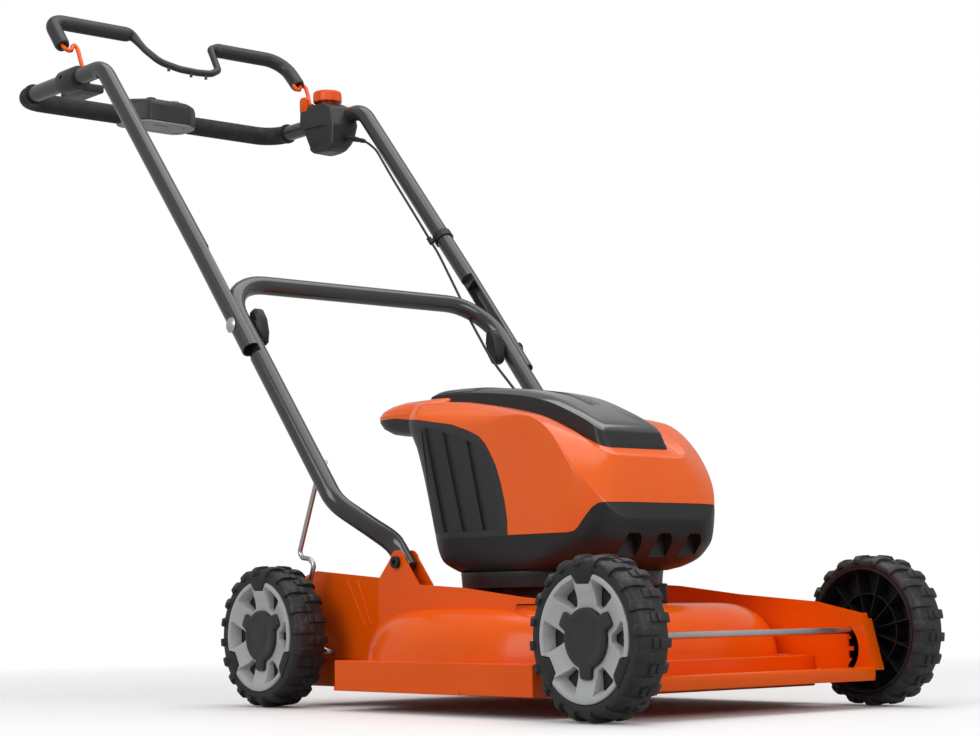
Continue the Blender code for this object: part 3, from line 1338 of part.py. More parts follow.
def cable_path():
    # Reads a smooth curve through the route at even steps.
    route = [Vector(p) for p in CABLE_ROUTE]
    route = [route[0] * 2 - route[1]] + route + [route[-1] * 2 - route[-2]]
    dense = []
    for a, b, c, d in zip(route, route[1:], route[2:], route[3:]):
        for k in range(12):
            t = k / 12
            dense.append(0.5 * (2 * b + (c - a) * t + (2 * a - 5 * b + 4 * c - d) * t ** 2
                                + (3 * b - a - 3 * c + d) * t ** 3))
    dense.append(route[-2])
    lengths = [0.0]
    for a, b in zip(dense, dense[1:]):
        lengths.append(lengths[-1] + (b - a).length)
    count = 60
    path = []
    k = 0
    for step in range(count + 1):
        target = lengths[-1] * step / count
        while k < len(dense) - 2 and lengths[k + 1] < target:
            k += 1
        share = (target - lengths[k]) / (lengths[k + 1] - lengths[k])
        path.append(dense[k].lerp(dense[k + 1], share))
    return path


def build_cable(parent, looks):
    cable = swept_curve("cable", cable_path(), CABLE_RADIUS, 2)
    cable.data.materials.append(looks["black"])
    cable.parent = parent


def cable_boot():
    # Strain relief moulded on the control box's front wall.
    start, after = Vector(CABLE_ROUTE[0]), Vector(CABLE_ROUTE[1])
    line = (after - start).normalized()
    tail = start - line * GAP
    return tube([tail - line * 0.020, tail - line * 0.008, tail], 0.0045, 3, [1.0, 0.95, 0.62])


def build_cable_clip(parent, looks):
    # Band round the left tube with an eye for the cable beside it.
    kink = Vector(along(FOLD_AT + CHANNEL_LENGTH, UPPER_X))
    knee = Vector((UPPER_X, UPPER_BEND_Y, BAR_Z))
    line = (knee - kink).normalized()
    eye = Vector(CABLE_ROUTE[CLIP_POINT])
    on_tube = kink + line * (eye - kink).dot(line)
    half = line * 0.006
    band = tube([on_tube - half, on_tube + half], TUBE_RADIUS + 0.0025, 6)
    lobe = tube([eye - half, eye + half], CABLE_RADIUS + 0.0022, 3)
    neck = tube([on_tube.lerp(eye, 0.65), eye], 0.003, 3)
    clip = fuse(band, lobe, neck)
    clip = cut(clip, tube([on_tube - half * 2, on_tube + half * 2], (TUBE_RADIUS + GAP) * 1.035, 4))
    clip = cut(clip, tube([eye - half * 2, eye + half * 2], CABLE_RADIUS + 0.0009, 3))
    finish(clip, "cable_clip", looks["black"], parent)


# Assembly

def make_looks():
    return {
        "orange": make_material("orange_paint", (0.85, 0.13, 0.02), 0.35),
        "gloss": make_material("gloss_black", (0.03, 0.03, 0.035), 0.12),
        "dark": make_material("dark_plastic", (0.055, 0.055, 0.06), 0.55),
        "black": make_material("black_plastic", (0.02, 0.02, 0.022), 0.6),
        "rim": make_material("rim_plastic", (0.48, 0.49, 0.50), 0.5),
        "grey": make_material("grey_plastic", (0.55, 0.55, 0.56), 0.5),
        "tyre": make_material("tyre_rubber", (0.035, 0.035, 0.037), 0.85),
        "foam": make_material("grip_foam", (0.03, 0.03, 0.032), 0.95),
        "tube": make_material("tube_paint", (0.07, 0.07, 0.075), 0.35, 0.3),
        "steel": make_material("zinc_steel", (0.62, 0.62, 0.63), 0.35, 1.0),
        "bright": make_material("bright_bolt", (0.75, 0.75, 0.76), 0.25, 1.0),
        "alloy": make_material("cast_alloy", (0.55, 0.56, 0.57), 0.5, 1.0),
    }


def build_body(looks):
    body = axis_empty("mower_body", (0, 0, 0))
    build_deck(body, looks)
    build_outer_plates(body, looks)
    build_inner_plates(body, looks)
    build_rear_wall(body, looks)
    build_motor(body, looks)
    build_hood(body, looks)
    build_battery(body, looks)
    build_controller(body, looks)
    build_ear_bolts(body, looks)
    build_cable(body, looks)


def build_running_gear(looks):
    front = axis_empty("front_axle_pivot", front_pivot())
    rear = axis_empty("rear_axle_pivot", rear_pivot())
    build_front_axle(front, looks)
    build_rear_axle(rear, looks)
    build_height_lever(rear, looks)
    shapes = wheel_shapes()
    for end in ("front", "rear"):
        for side in ("right", "left"):
            hub = axis_empty(f"{side}_{end}_hub", wheel_centre(side, end))
            build_wheel(side, end, hub, shapes, looks)
    for shape in shapes.values():
        bpy.data.objects.remove(shape, do_unlink=True)


def build_moving_covers(looks):
    spindle = axis_empty("spindle_axis", (0, DECK_Y, 0))
    build_blade_drive(spindle, looks)
    build_lid(axis_empty("lid_axis", (0, LID_PIN_Y, LID_PIN_Z)), looks)


def build_handles(looks):
    lower = axis_empty("lower_handle_axis", along(0.0))
    build_lower_handle(lower, looks)
    upper = axis_empty("upper_handle_axis", along(FOLD_AT))
    build_upper_handle(upper, looks)
    build_fold_bolts(upper, looks)
    build_grips(upper, looks)
    build_bail_bearing(upper, looks)
    build_control_box(upper, looks)
    build_rod_guide(upper, looks)
    build_panel(upper, looks)
    build_cable_clip(upper, looks)
    for side in (-1, 1):
        knob_axis = axis_empty("knob_axis", along(FOLD_AT))
        build_wing_knob(side, knob_axis, looks)
    build_bail(axis_empty("bail_axis", on_bail(0.0, 0.0)), looks)
    build_start_button(axis_empty("start_button_axis", (BUTTON_X, BUTTON_Y, BOX_TOP)), looks)
    for name, x, look in (("start_key", -KEY_X, "black"), ("economy_key", KEY_X, "grey")):
        build_key(name, x, axis_empty(f"{name}_axis", (x, KEY_Y, PANEL_Z[1])), looks[look])


def centre_lengthwise():
    # Moves every axis so that the origin lies under the middle of the whole length.
    bpy.context.view_layer.update()
    pieces = [obj for obj in bpy.data.objects if obj.type == "MESH"]
    along_y = [(obj.matrix_world @ Vector(corner)).y for obj in pieces for corner in obj.bound_box]
    middle = (min(along_y) + max(along_y)) / 2
    for obj in bpy.data.objects:
        if obj.type == "EMPTY":
            obj.location.y -= middle


def main():
    clear_scene()
    looks = make_looks()
    build_body(looks)
    build_running_gear(looks)
    build_moving_covers(looks)
    build_handles(looks)
    centre_lengthwise()


main()
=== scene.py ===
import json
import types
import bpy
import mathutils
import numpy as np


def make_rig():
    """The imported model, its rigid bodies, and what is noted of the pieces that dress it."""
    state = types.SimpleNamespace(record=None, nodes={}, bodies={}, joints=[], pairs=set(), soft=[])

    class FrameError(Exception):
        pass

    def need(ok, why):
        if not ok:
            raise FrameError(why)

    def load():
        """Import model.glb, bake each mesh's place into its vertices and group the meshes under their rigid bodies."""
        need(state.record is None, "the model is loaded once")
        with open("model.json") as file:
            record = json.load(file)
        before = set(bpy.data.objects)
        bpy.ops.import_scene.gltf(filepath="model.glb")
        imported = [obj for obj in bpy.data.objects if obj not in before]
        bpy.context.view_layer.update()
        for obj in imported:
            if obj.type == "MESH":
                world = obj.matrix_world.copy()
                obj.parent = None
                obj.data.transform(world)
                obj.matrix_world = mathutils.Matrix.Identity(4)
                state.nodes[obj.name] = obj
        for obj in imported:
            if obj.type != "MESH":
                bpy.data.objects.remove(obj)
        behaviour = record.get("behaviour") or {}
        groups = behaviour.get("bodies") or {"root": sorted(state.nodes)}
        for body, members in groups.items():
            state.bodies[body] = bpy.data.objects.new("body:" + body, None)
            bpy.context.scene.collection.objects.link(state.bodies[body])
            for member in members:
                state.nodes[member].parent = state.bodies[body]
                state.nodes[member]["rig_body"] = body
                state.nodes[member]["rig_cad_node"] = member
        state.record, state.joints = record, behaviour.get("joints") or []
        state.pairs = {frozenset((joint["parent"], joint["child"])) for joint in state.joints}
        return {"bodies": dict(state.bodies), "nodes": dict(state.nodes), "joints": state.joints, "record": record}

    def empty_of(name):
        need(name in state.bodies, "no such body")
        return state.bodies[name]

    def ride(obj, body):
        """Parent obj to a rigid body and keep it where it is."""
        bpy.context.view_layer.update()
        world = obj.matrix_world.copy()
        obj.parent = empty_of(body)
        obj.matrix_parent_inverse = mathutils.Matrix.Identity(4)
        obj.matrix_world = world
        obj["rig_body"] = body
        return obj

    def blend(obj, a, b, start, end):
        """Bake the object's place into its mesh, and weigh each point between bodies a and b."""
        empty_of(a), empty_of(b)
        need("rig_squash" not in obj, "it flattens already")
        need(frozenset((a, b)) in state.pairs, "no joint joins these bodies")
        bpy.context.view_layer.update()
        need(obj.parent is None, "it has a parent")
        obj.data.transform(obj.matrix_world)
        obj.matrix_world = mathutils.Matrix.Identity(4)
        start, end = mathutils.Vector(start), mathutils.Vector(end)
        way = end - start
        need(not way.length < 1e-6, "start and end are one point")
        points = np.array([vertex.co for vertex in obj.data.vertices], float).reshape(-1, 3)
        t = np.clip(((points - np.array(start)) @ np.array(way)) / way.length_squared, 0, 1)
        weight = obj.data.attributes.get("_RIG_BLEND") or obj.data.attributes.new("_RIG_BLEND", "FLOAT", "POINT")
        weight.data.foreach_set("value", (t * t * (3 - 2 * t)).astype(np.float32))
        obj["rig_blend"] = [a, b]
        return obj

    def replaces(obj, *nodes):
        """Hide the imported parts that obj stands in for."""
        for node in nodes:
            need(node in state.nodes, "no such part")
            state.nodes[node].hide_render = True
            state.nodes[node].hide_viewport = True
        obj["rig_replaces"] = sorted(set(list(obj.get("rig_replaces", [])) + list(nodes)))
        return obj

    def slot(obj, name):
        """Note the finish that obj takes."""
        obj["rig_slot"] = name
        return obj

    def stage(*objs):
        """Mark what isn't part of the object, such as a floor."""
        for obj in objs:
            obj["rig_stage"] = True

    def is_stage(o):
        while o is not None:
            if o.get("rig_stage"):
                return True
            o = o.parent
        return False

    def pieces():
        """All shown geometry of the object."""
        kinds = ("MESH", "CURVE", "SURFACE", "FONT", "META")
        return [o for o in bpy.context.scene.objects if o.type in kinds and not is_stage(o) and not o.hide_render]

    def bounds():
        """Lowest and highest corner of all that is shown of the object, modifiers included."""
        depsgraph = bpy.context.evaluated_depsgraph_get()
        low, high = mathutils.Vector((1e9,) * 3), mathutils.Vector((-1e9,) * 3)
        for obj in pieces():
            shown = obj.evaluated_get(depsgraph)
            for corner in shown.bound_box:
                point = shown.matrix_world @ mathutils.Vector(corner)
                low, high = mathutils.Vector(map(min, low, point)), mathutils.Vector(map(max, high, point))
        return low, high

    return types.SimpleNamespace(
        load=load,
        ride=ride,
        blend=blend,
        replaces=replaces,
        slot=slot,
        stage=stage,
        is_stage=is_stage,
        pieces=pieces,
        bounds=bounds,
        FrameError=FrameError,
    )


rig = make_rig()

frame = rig.load()

import json
import math

import bpy
from mathutils import Matrix, Vector

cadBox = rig.bounds()
nodes = frame["nodes"]
print("mower: frame loaded,", len(nodes), "nodes")


# camera at the photo's angle

view = {
    "place": (-1.8085, -2.32177, 0.1319),
    "yaw": 40.04,
    "pitch": 6.143,
    "roll": -0.805,
    "focalLength": 79.24,
    "sensorWidth": 36.0,
}


def addCamera():
    yaw, pitch, roll = (math.radians(view[k]) for k in ("yaw", "pitch", "roll"))
    forward = Vector((math.sin(yaw) * math.cos(pitch), math.cos(yaw) * math.cos(pitch), math.sin(pitch)))
    flatRight = Vector((math.cos(yaw), -math.sin(yaw), 0))
    flatUp = flatRight.cross(forward)
    right = flatRight * math.cos(roll) + flatUp * math.sin(roll)
    up = flatUp * math.cos(roll) - flatRight * math.sin(roll)
    bpy.ops.object.camera_add()
    camera = bpy.context.object
    camera.name = "photoCamera"
    camera.data.lens = view["focalLength"]
    camera.data.sensor_width = view["sensorWidth"]
    turn = Matrix((right, up, -forward)).transposed().to_4x4()
    camera.matrix_world = Matrix.Translation(view["place"]) @ turn
    bpy.context.scene.camera = camera


addCamera()
print("mower: camera set")


# selecting, copying, bevelling and shading

def clearSelection():
    if bpy.context.object and bpy.context.object.mode != "OBJECT":
        bpy.ops.object.mode_set(mode="OBJECT")
    bpy.ops.object.select_all(action="DESELECT")


def makeActive(piece):
    clearSelection()
    piece.select_set(True)
    bpy.context.view_layer.objects.active = piece


def editAll(piece):
    makeActive(piece)
    bpy.ops.object.mode_set(mode="EDIT")
    bpy.ops.mesh.select_all(action="SELECT")


def settle(piece):
    # the place goes into the mesh, so patterns stay put
    makeActive(piece)
    bpy.ops.object.transform_apply(location=True, rotation=True, scale=True)


def applyModifiers(piece):
    makeActive(piece)
    for modifier in list(piece.modifiers):
        bpy.ops.object.modifier_apply(modifier=modifier.name)


def takeCopy(nodeName, name):
    # a merged copy of a CAD node, with n-gons in place of its loose triangles
    clearSelection()
    source = nodes[nodeName]
    piece = source.copy()
    piece.data = source.data.copy()
    for key in list(piece.keys()):
        del piece[key]
    bpy.context.scene.collection.objects.link(piece)
    piece.parent = None
    piece.name = name
    makeActive(piece)
    if piece.data.has_custom_normals:
        bpy.ops.mesh.customdata_custom_splitnormals_clear()
    editAll(piece)
    bpy.ops.mesh.remove_doubles(threshold=0.00002)
    bpy.ops.mesh.dissolve_limited(angle_limit=math.radians(0.8))
    bpy.ops.object.mode_set(mode="OBJECT")
    return piece


def softEdges(piece, width, segments=2, angle=32, clamp=False):
    bevel = piece.modifiers.new("softEdges", "BEVEL")
    bevel.width = width
    bevel.segments = segments
    bevel.limit_method = "ANGLE"
    bevel.angle_limit = math.radians(angle)
    bevel.use_clamp_overlap = clamp
    bevel.harden_normals = False
    applyModifiers(piece)


def smoothFaces(piece, angle=38):
    makeActive(piece)
    bpy.ops.object.shade_smooth_by_angle(angle=math.radians(angle))


def evenNormals(piece):
    # broad flat faces keep their own normals up to the broken edges
    weigh = piece.modifiers.new("evenNormals", "WEIGHTED_NORMAL")
    weigh.keep_sharp = True
    weigh.weight = 80
    applyModifiers(piece)


def dress(piece, body, slot, *replaced, finish=None):
    piece.data.materials.clear()
    piece.data.materials.append(finishes[finish or slotFinish[slot]])
    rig.ride(piece, body)
    if replaced:
        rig.replaces(piece, *replaced)
    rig.slot(piece, slot)


def placePiece(piece, angle, body, slot, *replaced, even=False):
    # shades a finished piece, moves it into the frame and dresses it
    smoothFaces(piece, angle)
    if even:
        evenNormals(piece)
    toFrame(piece)
    dress(piece, body, slot, *replaced)


# finishes from nodes, one for each material slot

def newFinish(name, settings):
    finish = bpy.data.materials.new(name)
    finish.use_nodes = True
    shader = finish.node_tree.nodes["Principled BSDF"]
    for socket, value in settings.items():
        shader.inputs[socket].default_value = value
    return finish, finish.node_tree, shader


def link(tree, fromSocket, toSocket):
    tree.links.new(fromSocket, toSocket)


def objectCoordinates(tree):
    coordinates = tree.nodes.new("ShaderNodeTexCoord")
    return coordinates.outputs["Object"]


def noise(tree, scale, detail=2.0, roughness=0.5, vector=None):
    texture = tree.nodes.new("ShaderNodeTexNoise")
    texture.inputs["Scale"].default_value = scale
    texture.inputs["Detail"].default_value = detail
    texture.inputs["Roughness"].default_value = roughness
    link(tree, vector or objectCoordinates(tree), texture.inputs["Vector"])
    return texture.outputs["Fac"]


def remap(tree, value, low, high, fromLow=0.3, fromHigh=0.7):
    mapRange = tree.nodes.new("ShaderNodeMapRange")
    mapRange.inputs["From Min"].default_value = fromLow
    mapRange.inputs["From Max"].default_value = fromHigh
    mapRange.inputs["To Min"].default_value = low
    mapRange.inputs["To Max"].default_value = high
    link(tree, value, mapRange.inputs["Value"])
    return mapRange.outputs["Result"]


def mixColours(tree, factor, first, second):
    mix = tree.nodes.new("ShaderNodeMix")
    mix.data_type = "RGBA"
    link(tree, factor, mix.inputs["Factor"])
    for socket, colour in ((mix.inputs["A"], first), (mix.inputs["B"], second)):
        if isinstance(colour, tuple):
            socket.default_value = (*colour, 1.0)
        else:
            link(tree, colour, socket)
    return mix.outputs["Result"]


def bumps(tree, shader, height, strength, distance):
    bump = tree.nodes.new("ShaderNodeBump")
    bump.inputs["Strength"].default_value = strength
    bump.inputs["Distance"].default_value = distance
    link(tree, height, bump.inputs["Height"])
    link(tree, bump.outputs["Normal"], shader.inputs["Normal"])


def paintedFinish(name, light, dark, roughness, coat, grainScale, grainDepth, extra=None):
    settings = {"Coat Weight": coat, "Coat Roughness": 0.08, "IOR": 1.5}
    settings.update(extra or {})
    finish, tree, shader = newFinish(name, settings)
    broad = noise(tree, 9.0, 3.0)
    link(tree, mixColours(tree, remap(tree, broad, 0.0, 1.0), light, dark), shader.inputs["Base Color"])
    link(tree, remap(tree, noise(tree, 60.0, 4.0), roughness * 0.85, roughness * 1.2), shader.inputs["Roughness"])
    bumps(tree, shader, noise(tree, grainScale, 3.0), 0.35, grainDepth)
    return finish


# name, lighter and darker colour, roughness, coat, and the grain's scale and depth
finishRows = {
    "deckOrange": ("powder coated orange steel", (0.9, 0.112, 0.001), (0.84, 0.098, 0.001), 0.22, 0.06, 900.0,
                   0.00003, {"Specular IOR Level": 0.24}),
    "hoodOrange": ("glossy orange moulding", (0.92, 0.13, 0.006), (0.88, 0.118, 0.004), 0.2, 0.2, 500.0, 0.00002,
                   {"Specular IOR Level": 0.4}),
    "buttonOrange": ("satin orange moulding", (0.86, 0.1, 0.002), (0.8, 0.088, 0.001), 0.34, 0.05, 700.0, 0.00002,
                     {"Specular IOR Level": 0.35}),
    "lidBlack": ("polished black moulding", (0.018, 0.018, 0.02), (0.014, 0.014, 0.015), 0.16, 0.8, 300.0, 0.00001),
    "darkMoulding": ("satin dark grey moulding", (0.032, 0.033, 0.034), (0.027, 0.028, 0.029), 0.36, 0.0, 1500.0,
                     0.00005, {"Specular IOR Level": 0.4}),
    "blackMoulding": ("satin black moulding", (0.016, 0.016, 0.017), (0.012, 0.012, 0.013), 0.42, 0.0, 1500.0,
                      0.00005, {"Specular IOR Level": 0.4}),
    "rimGrey": ("satin light grey moulding", (0.47, 0.48, 0.49), (0.43, 0.44, 0.45), 0.38, 0.05, 1400.0, 0.00005),
    "panelGrey": ("satin mid grey moulding", (0.33, 0.34, 0.35), (0.29, 0.3, 0.31), 0.42, 0.0, 1400.0, 0.00005),
    "treadRubber": ("tread rubber", (0.02, 0.02, 0.021), (0.014, 0.014, 0.015), 0.46, 0.0, 1200.0, 0.00015),
    "gripFoam": ("handle foam", (0.02, 0.02, 0.021), (0.014, 0.014, 0.015), 0.66, 0.0, 2500.0, 0.0003),
    "tubeGrey": ("powder coated grey tube", (0.034, 0.035, 0.037), (0.028, 0.029, 0.03), 0.22, 0.5, 1800.0, 0.00008),
    "zincSteel": ("zinc plated steel", (0.62, 0.62, 0.63), (0.5, 0.5, 0.51), 0.3, 0.0, 800.0, 0.00004,
                  {"Metallic": 1.0}),
    "brightSteel": ("bright plated steel", (0.74, 0.74, 0.75), (0.66, 0.66, 0.67), 0.22, 0.0, 800.0, 0.00002,
                    {"Metallic": 1.0}),
    "castAlloy": ("cast aluminium", (0.42, 0.43, 0.44), (0.34, 0.35, 0.36), 0.45, 0.0, 500.0, 0.0002,
                  {"Metallic": 0.9}),
}
finishes = {name: paintedFinish(*row) for name, row in finishRows.items()}
slotFinish = {
    "orange_paint": "deckOrange", "orange_plastic": "hoodOrange", "orange_button": "buttonOrange",
    "gloss_black": "lidBlack", "dark_plastic": "darkMoulding", "black_plastic": "blackMoulding",
    "rim_plastic": "rimGrey", "grey_plastic": "panelGrey", "tyre_rubber": "treadRubber",
    "grip_foam": "gripFoam", "tube_paint": "tubeGrey", "zinc_steel": "zincSteel",
    "bright_bolt": "brightSteel", "cast_alloy": "castAlloy",
}
nodeSlot = {part["node"]: part["material_slot"] for part in frame["record"]["subparts"]}
for nodeName, node in nodes.items():
    node.data.materials.clear()
    node.data.materials.append(finishes[slotFinish[nodeSlot[nodeName]]])
print("mower: finishes made")


# pale floor, white backdrop and three soft lamps

studio = {
    "floorSize": 14.0,
    "fadeStart": 0.55,
    "fadeEnd": 2.0,
    "skyColour": (1.0, 1.0, 1.0),
    "ambient": 0.46,
    "lamps": {
        "topSoftbox": {"place": (0.3, -0.2, 2.5), "aim": (0.0, 0.0, 0.3), "size": (2.4, 2.4), "power": 30.0},
        "leftSoftbox": {"place": (-2.6, -0.6, 1.8), "aim": (0.0, 0.0, 0.4), "size": (1.4, 2.0), "power": 30.0},
        "frontSoftbox": {"place": (0.4, -3.2, 1.5), "aim": (0.0, 0.0, 0.2), "size": (1.8, 1.4), "power": 22.0},
    },
}


def addStudio():
    scene = bpy.context.scene
    scene.view_settings.view_transform = "Standard"
    world = bpy.data.worlds.new("studioWorld")
    scene.world = world
    world.use_nodes = True
    tree = world.node_tree
    background = tree.nodes["Background"]
    background.inputs["Color"].default_value = (*studio["skyColour"], 1.0)
    # the backdrop is plain white to look at and gives a softer light than that
    lightPath = tree.nodes.new("ShaderNodeLightPath")
    link(tree, remap(tree, lightPath.outputs["Is Camera Ray"], studio["ambient"], 1.0, 0.0, 1.0),
         background.inputs["Strength"])
    clearSelection()
    bpy.ops.mesh.primitive_plane_add(size=studio["floorSize"], location=(0, 0, -0.0003))
    floor = bpy.context.object
    floor.name = "studioFloor"
    settle(floor)
    finish, tree, shader = newFinish("pale floor", {"Roughness": 0.6, "Specular IOR Level": 0.2})
    # further out it fades into the white backdrop; the light it throws back up is weaker
    bounce = tree.nodes.new("ShaderNodeLightPath")
    shade = noise(tree, 1.5)
    seen = mixColours(tree, shade, (0.96, 0.96, 0.96), (0.98, 0.98, 0.98))
    link(tree, mixColours(tree, bounce.outputs["Is Camera Ray"], (0.42, 0.42, 0.42), seen),
         shader.inputs["Base Color"])
    distance = tree.nodes.new("ShaderNodeVectorMath")
    distance.operation = "LENGTH"
    link(tree, objectCoordinates(tree), distance.inputs[0])
    glow = tree.nodes.new("ShaderNodeEmission")
    link(tree, remap(tree, bounce.outputs["Is Camera Ray"], 0.4, 1.0, 0.0, 1.0), glow.inputs["Strength"])
    blend = tree.nodes.new("ShaderNodeMixShader")
    link(tree, remap(tree, distance.outputs["Value"], 0.0, 1.0, studio["fadeStart"], studio["fadeEnd"]),
         blend.inputs["Fac"])
    link(tree, shader.outputs["BSDF"], blend.inputs[1])
    link(tree, glow.outputs["Emission"], blend.inputs[2])
    link(tree, blend.outputs["Shader"], tree.nodes["Material Output"].inputs["Surface"])
    floor.data.materials.append(finish)
    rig.stage(floor)
    for name, lamp in studio["lamps"].items():
        aim = Vector(lamp["aim"]) - Vector(lamp["place"])
        bpy.ops.object.light_add(type="AREA", location=lamp["place"],
                                 rotation=aim.to_track_quat("-Z", "Y").to_euler())
        light = bpy.context.object
        light.name = name
        light.data.shape = "RECTANGLE"
        light.data.size, light.data.size_y = lamp["size"]
        light.data.energy = lamp["power"]


addStudio()
print("mower: studio lit")


# curves, skins and booleans

midY = -0.305874    # the drawing's middle between the axles, in the frame


def curveThrough(points):
    # a smooth curve through (position, value) pairs, without overshoot
    xs = [p[0] for p in points]
    ys = [p[1] for p in points]
    slopes = [(ys[i + 1] - ys[i]) / (xs[i + 1] - xs[i]) for i in range(len(xs) - 1)]
    tangents = [slopes[0]]
    for a, b in zip(slopes, slopes[1:]):
        tangents.append(0.0 if a * b <= 0 else 2 * a * b / (a + b))
    tangents.append(slopes[-1])

    def value(x):
        if x <= xs[0]:
            return ys[0]
        if x >= xs[-1]:
            return ys[-1]
        i = max(k for k in range(len(xs) - 1) if xs[k] <= x)
        h = xs[i + 1] - xs[i]
        t = (x - xs[i]) / h
        a, b = tangents[i] * h, tangents[i + 1] * h
        return (ys[i] * (1 - 3 * t * t + 2 * t ** 3) + ys[i + 1] * (3 * t * t - 2 * t ** 3)
                + a * (t - 2 * t * t + t ** 3) + b * (t ** 3 - t * t))
    return value


def meshPiece(name, points, faces, edges=()):
    mesh = bpy.data.meshes.new(name)
    mesh.from_pydata(points, edges, faces)
    mesh.update()
    piece = bpy.data.objects.new(name, mesh)
    bpy.context.scene.collection.objects.link(piece)
    return piece


def skin(name, rings, capFirst=True, capLast=True):
    # joins closed rings of points into one skin
    points = [p for ring in rings for p in ring]
    count = len(rings[0])
    faces = []
    for r in range(len(rings) - 1):
        for k in range(count):
            n = (k + 1) % count
            faces.append((r * count + k, r * count + n, (r + 1) * count + n, (r + 1) * count + k))
    if capFirst:
        faces.append(tuple(reversed(range(count))))
    if capLast:
        faces.append(tuple(range((len(rings) - 1) * count, len(rings) * count)))
    piece = meshPiece(name, points, faces)
    facesOut(piece)
    return piece


def facesOut(piece):
    editAll(piece)
    bpy.ops.mesh.remove_doubles(threshold=0.000002)
    bpy.ops.mesh.normals_make_consistent(inside=False)
    bpy.ops.object.mode_set(mode="OBJECT")


def combine(piece, tool, operation):
    # EXACT boolean of one piece with another
    modifier = piece.modifiers.new(operation, "BOOLEAN")
    modifier.operation = operation
    modifier.solver = "EXACT"
    modifier.object = tool
    makeActive(piece)
    bpy.ops.object.modifier_apply(modifier=modifier.name)
    bpy.data.objects.remove(tool)
    return piece


def sidePrism(name, outline, low=-0.2, high=0.2):
    # a block with a side-view outline of (y, z) corners, from x low to x high
    rings = [[(x, y, z) for y, z in outline] for x in (low, high)]
    return skin(name, rings)


def boxPiece(name, low, high):
    clearSelection()
    centre = [(a + b) / 2 for a, b in zip(low, high)]
    bpy.ops.mesh.primitive_cube_add(size=1, location=centre)
    piece = bpy.context.object
    piece.name = name
    piece.scale = [b - a for a, b in zip(low, high)]
    settle(piece)
    return piece


def duplicate(piece, name):
    double = piece.copy()
    double.data = piece.data.copy()
    double.name = name
    bpy.context.scene.collection.objects.link(double)
    return double


def toFrame(piece):
    piece.location.y += midY
    settle(piece)


# hood: one form, split into shell, rear housing and base

hood = {
    "bottom": 0.166,
    "cornerSteps": 14,
    "sideSteps": 26,
    "endSteps": 8,
    "wallSteps": 26,
    "seam": 0.0005,
    "baseTop": 0.209,
    "frontBaseTop": 0.244,
    "beakSplit": 0.37,
    "height": 0.21,
    "levels": 60,
    "crestLoop": (0.0775, -0.159, 0.216, 0.03, 0.04),
    "seamLoop": (0.0585, -0.1415, 0.2075, 0.016, 0.02),
    "middleLoop": (0.02, -0.09, 0.15, 0.01, 0.01),
    "crestRise": 0.0022,
    "seamDip": 0.0035,
    "fingerPocket": ((-0.052, 0.222, 0.328), (0.052, 0.266, 0.38)),
    "pocketEdge": 0.006,
    "recessDepths": (0.1128, 0.135),
    "ribHalf": 0.0011,
    "ribDepths": (0.11, 0.1166),
    "ventSpacing": 0.05,
    "ventMiddle": 0.18,
    "vent": ((-0.0165, 0.15), (0.0165, 0.15), (0.015, 0.196), (0.0125, 0.2055), (0.0085, 0.2095), (-0.0085, 0.2095),
             (-0.0125, 0.2055), (-0.015, 0.196)),
}
wallHalf = curveThrough([(0.166, 0.1135), (0.17, 0.117), (0.182, 0.12), (0.205, 0.1205), (0.245, 0.119),
                         (0.285, 0.1168), (0.328, 0.1145), (0.365, 0.113)])
wallFront = curveThrough([(0.166, -0.128), (0.17, -0.146), (0.182, -0.168), (0.205, -0.1825), (0.245, -0.1865),
                          (0.365, -0.187)])
wallRear = curveThrough([(0.166, 0.122), (0.182, 0.136), (0.205, 0.14), (0.245, 0.152), (0.285, 0.166),
                         (0.31, 0.176), (0.328, 0.184), (0.346, 0.196), (0.365, 0.208)])
cornerFront = curveThrough([(0.166, 0.096), (0.182, 0.078), (0.205, 0.068), (0.245, 0.064), (0.365, 0.062)])
cornerRear = curveThrough([(0.166, 0.096), (0.182, 0.07), (0.205, 0.06), (0.245, 0.058), (0.365, 0.055)])
creaseHeight = curveThrough([(-0.2, 0.208), (-0.187, 0.222), (-0.178, 0.24), (-0.168, 0.257), (-0.15, 0.281),
                             (-0.115, 0.324), (-0.094, 0.341), (-0.074, 0.351), (-0.039, 0.3565), (0.01, 0.3585),
                             (0.06, 0.361), (0.12, 0.365), (0.21, 0.368)])
crestHeight = curveThrough([(-0.16, 0.299), (-0.15, 0.306), (-0.14, 0.314), (-0.12, 0.327), (-0.09, 0.341),
                            (-0.06, 0.3525), (-0.02, 0.363), (0.03, 0.3725), (0.1, 0.383), (0.21, 0.39)])
seamHeight = curveThrough([(-0.1415, 0.3105), (-0.06, 0.3445), (0.005, 0.3635), (0.095, 0.38), (0.21, 0.389)])
foldRadius = curveThrough([(-0.2, 0.0024), (-0.07, 0.0024), (-0.03, 0.005), (0.03, 0.016), (0.08, 0.02),
                           (0.21, 0.02)])


def planLoop(half, front, rear, frontRadius, rearRadius):
    # a rounded outline with the same number of points on every stretch
    steps, along, across = hood["cornerSteps"], hood["sideSteps"], hood["endSteps"]
    corners = (
        (half - frontRadius, front + frontRadius, frontRadius, -90),
        (half - rearRadius, rear - rearRadius, rearRadius, 0),
        (-half + rearRadius, rear - rearRadius, rearRadius, 90),
        (-half + frontRadius, front + frontRadius, frontRadius, 180),
    )
    arcs = []
    for x, y, radius, start in corners:
        turns = [math.radians(start + 90 * k / steps) for k in range(steps + 1)]
        arcs.append([(x + radius * math.cos(a), y + radius * math.sin(a)) for a in turns])
    loop = []
    for k, arc in enumerate(arcs):
        loop += arc
        following = arcs[(k + 1) % 4][0]
        between = along if k % 2 == 0 else across
        for s in range(1, between):
            t = s / between
            loop.append(tuple(arc[-1][i] * (1 - t) + following[i] * t for i in range(2)))
    return loop


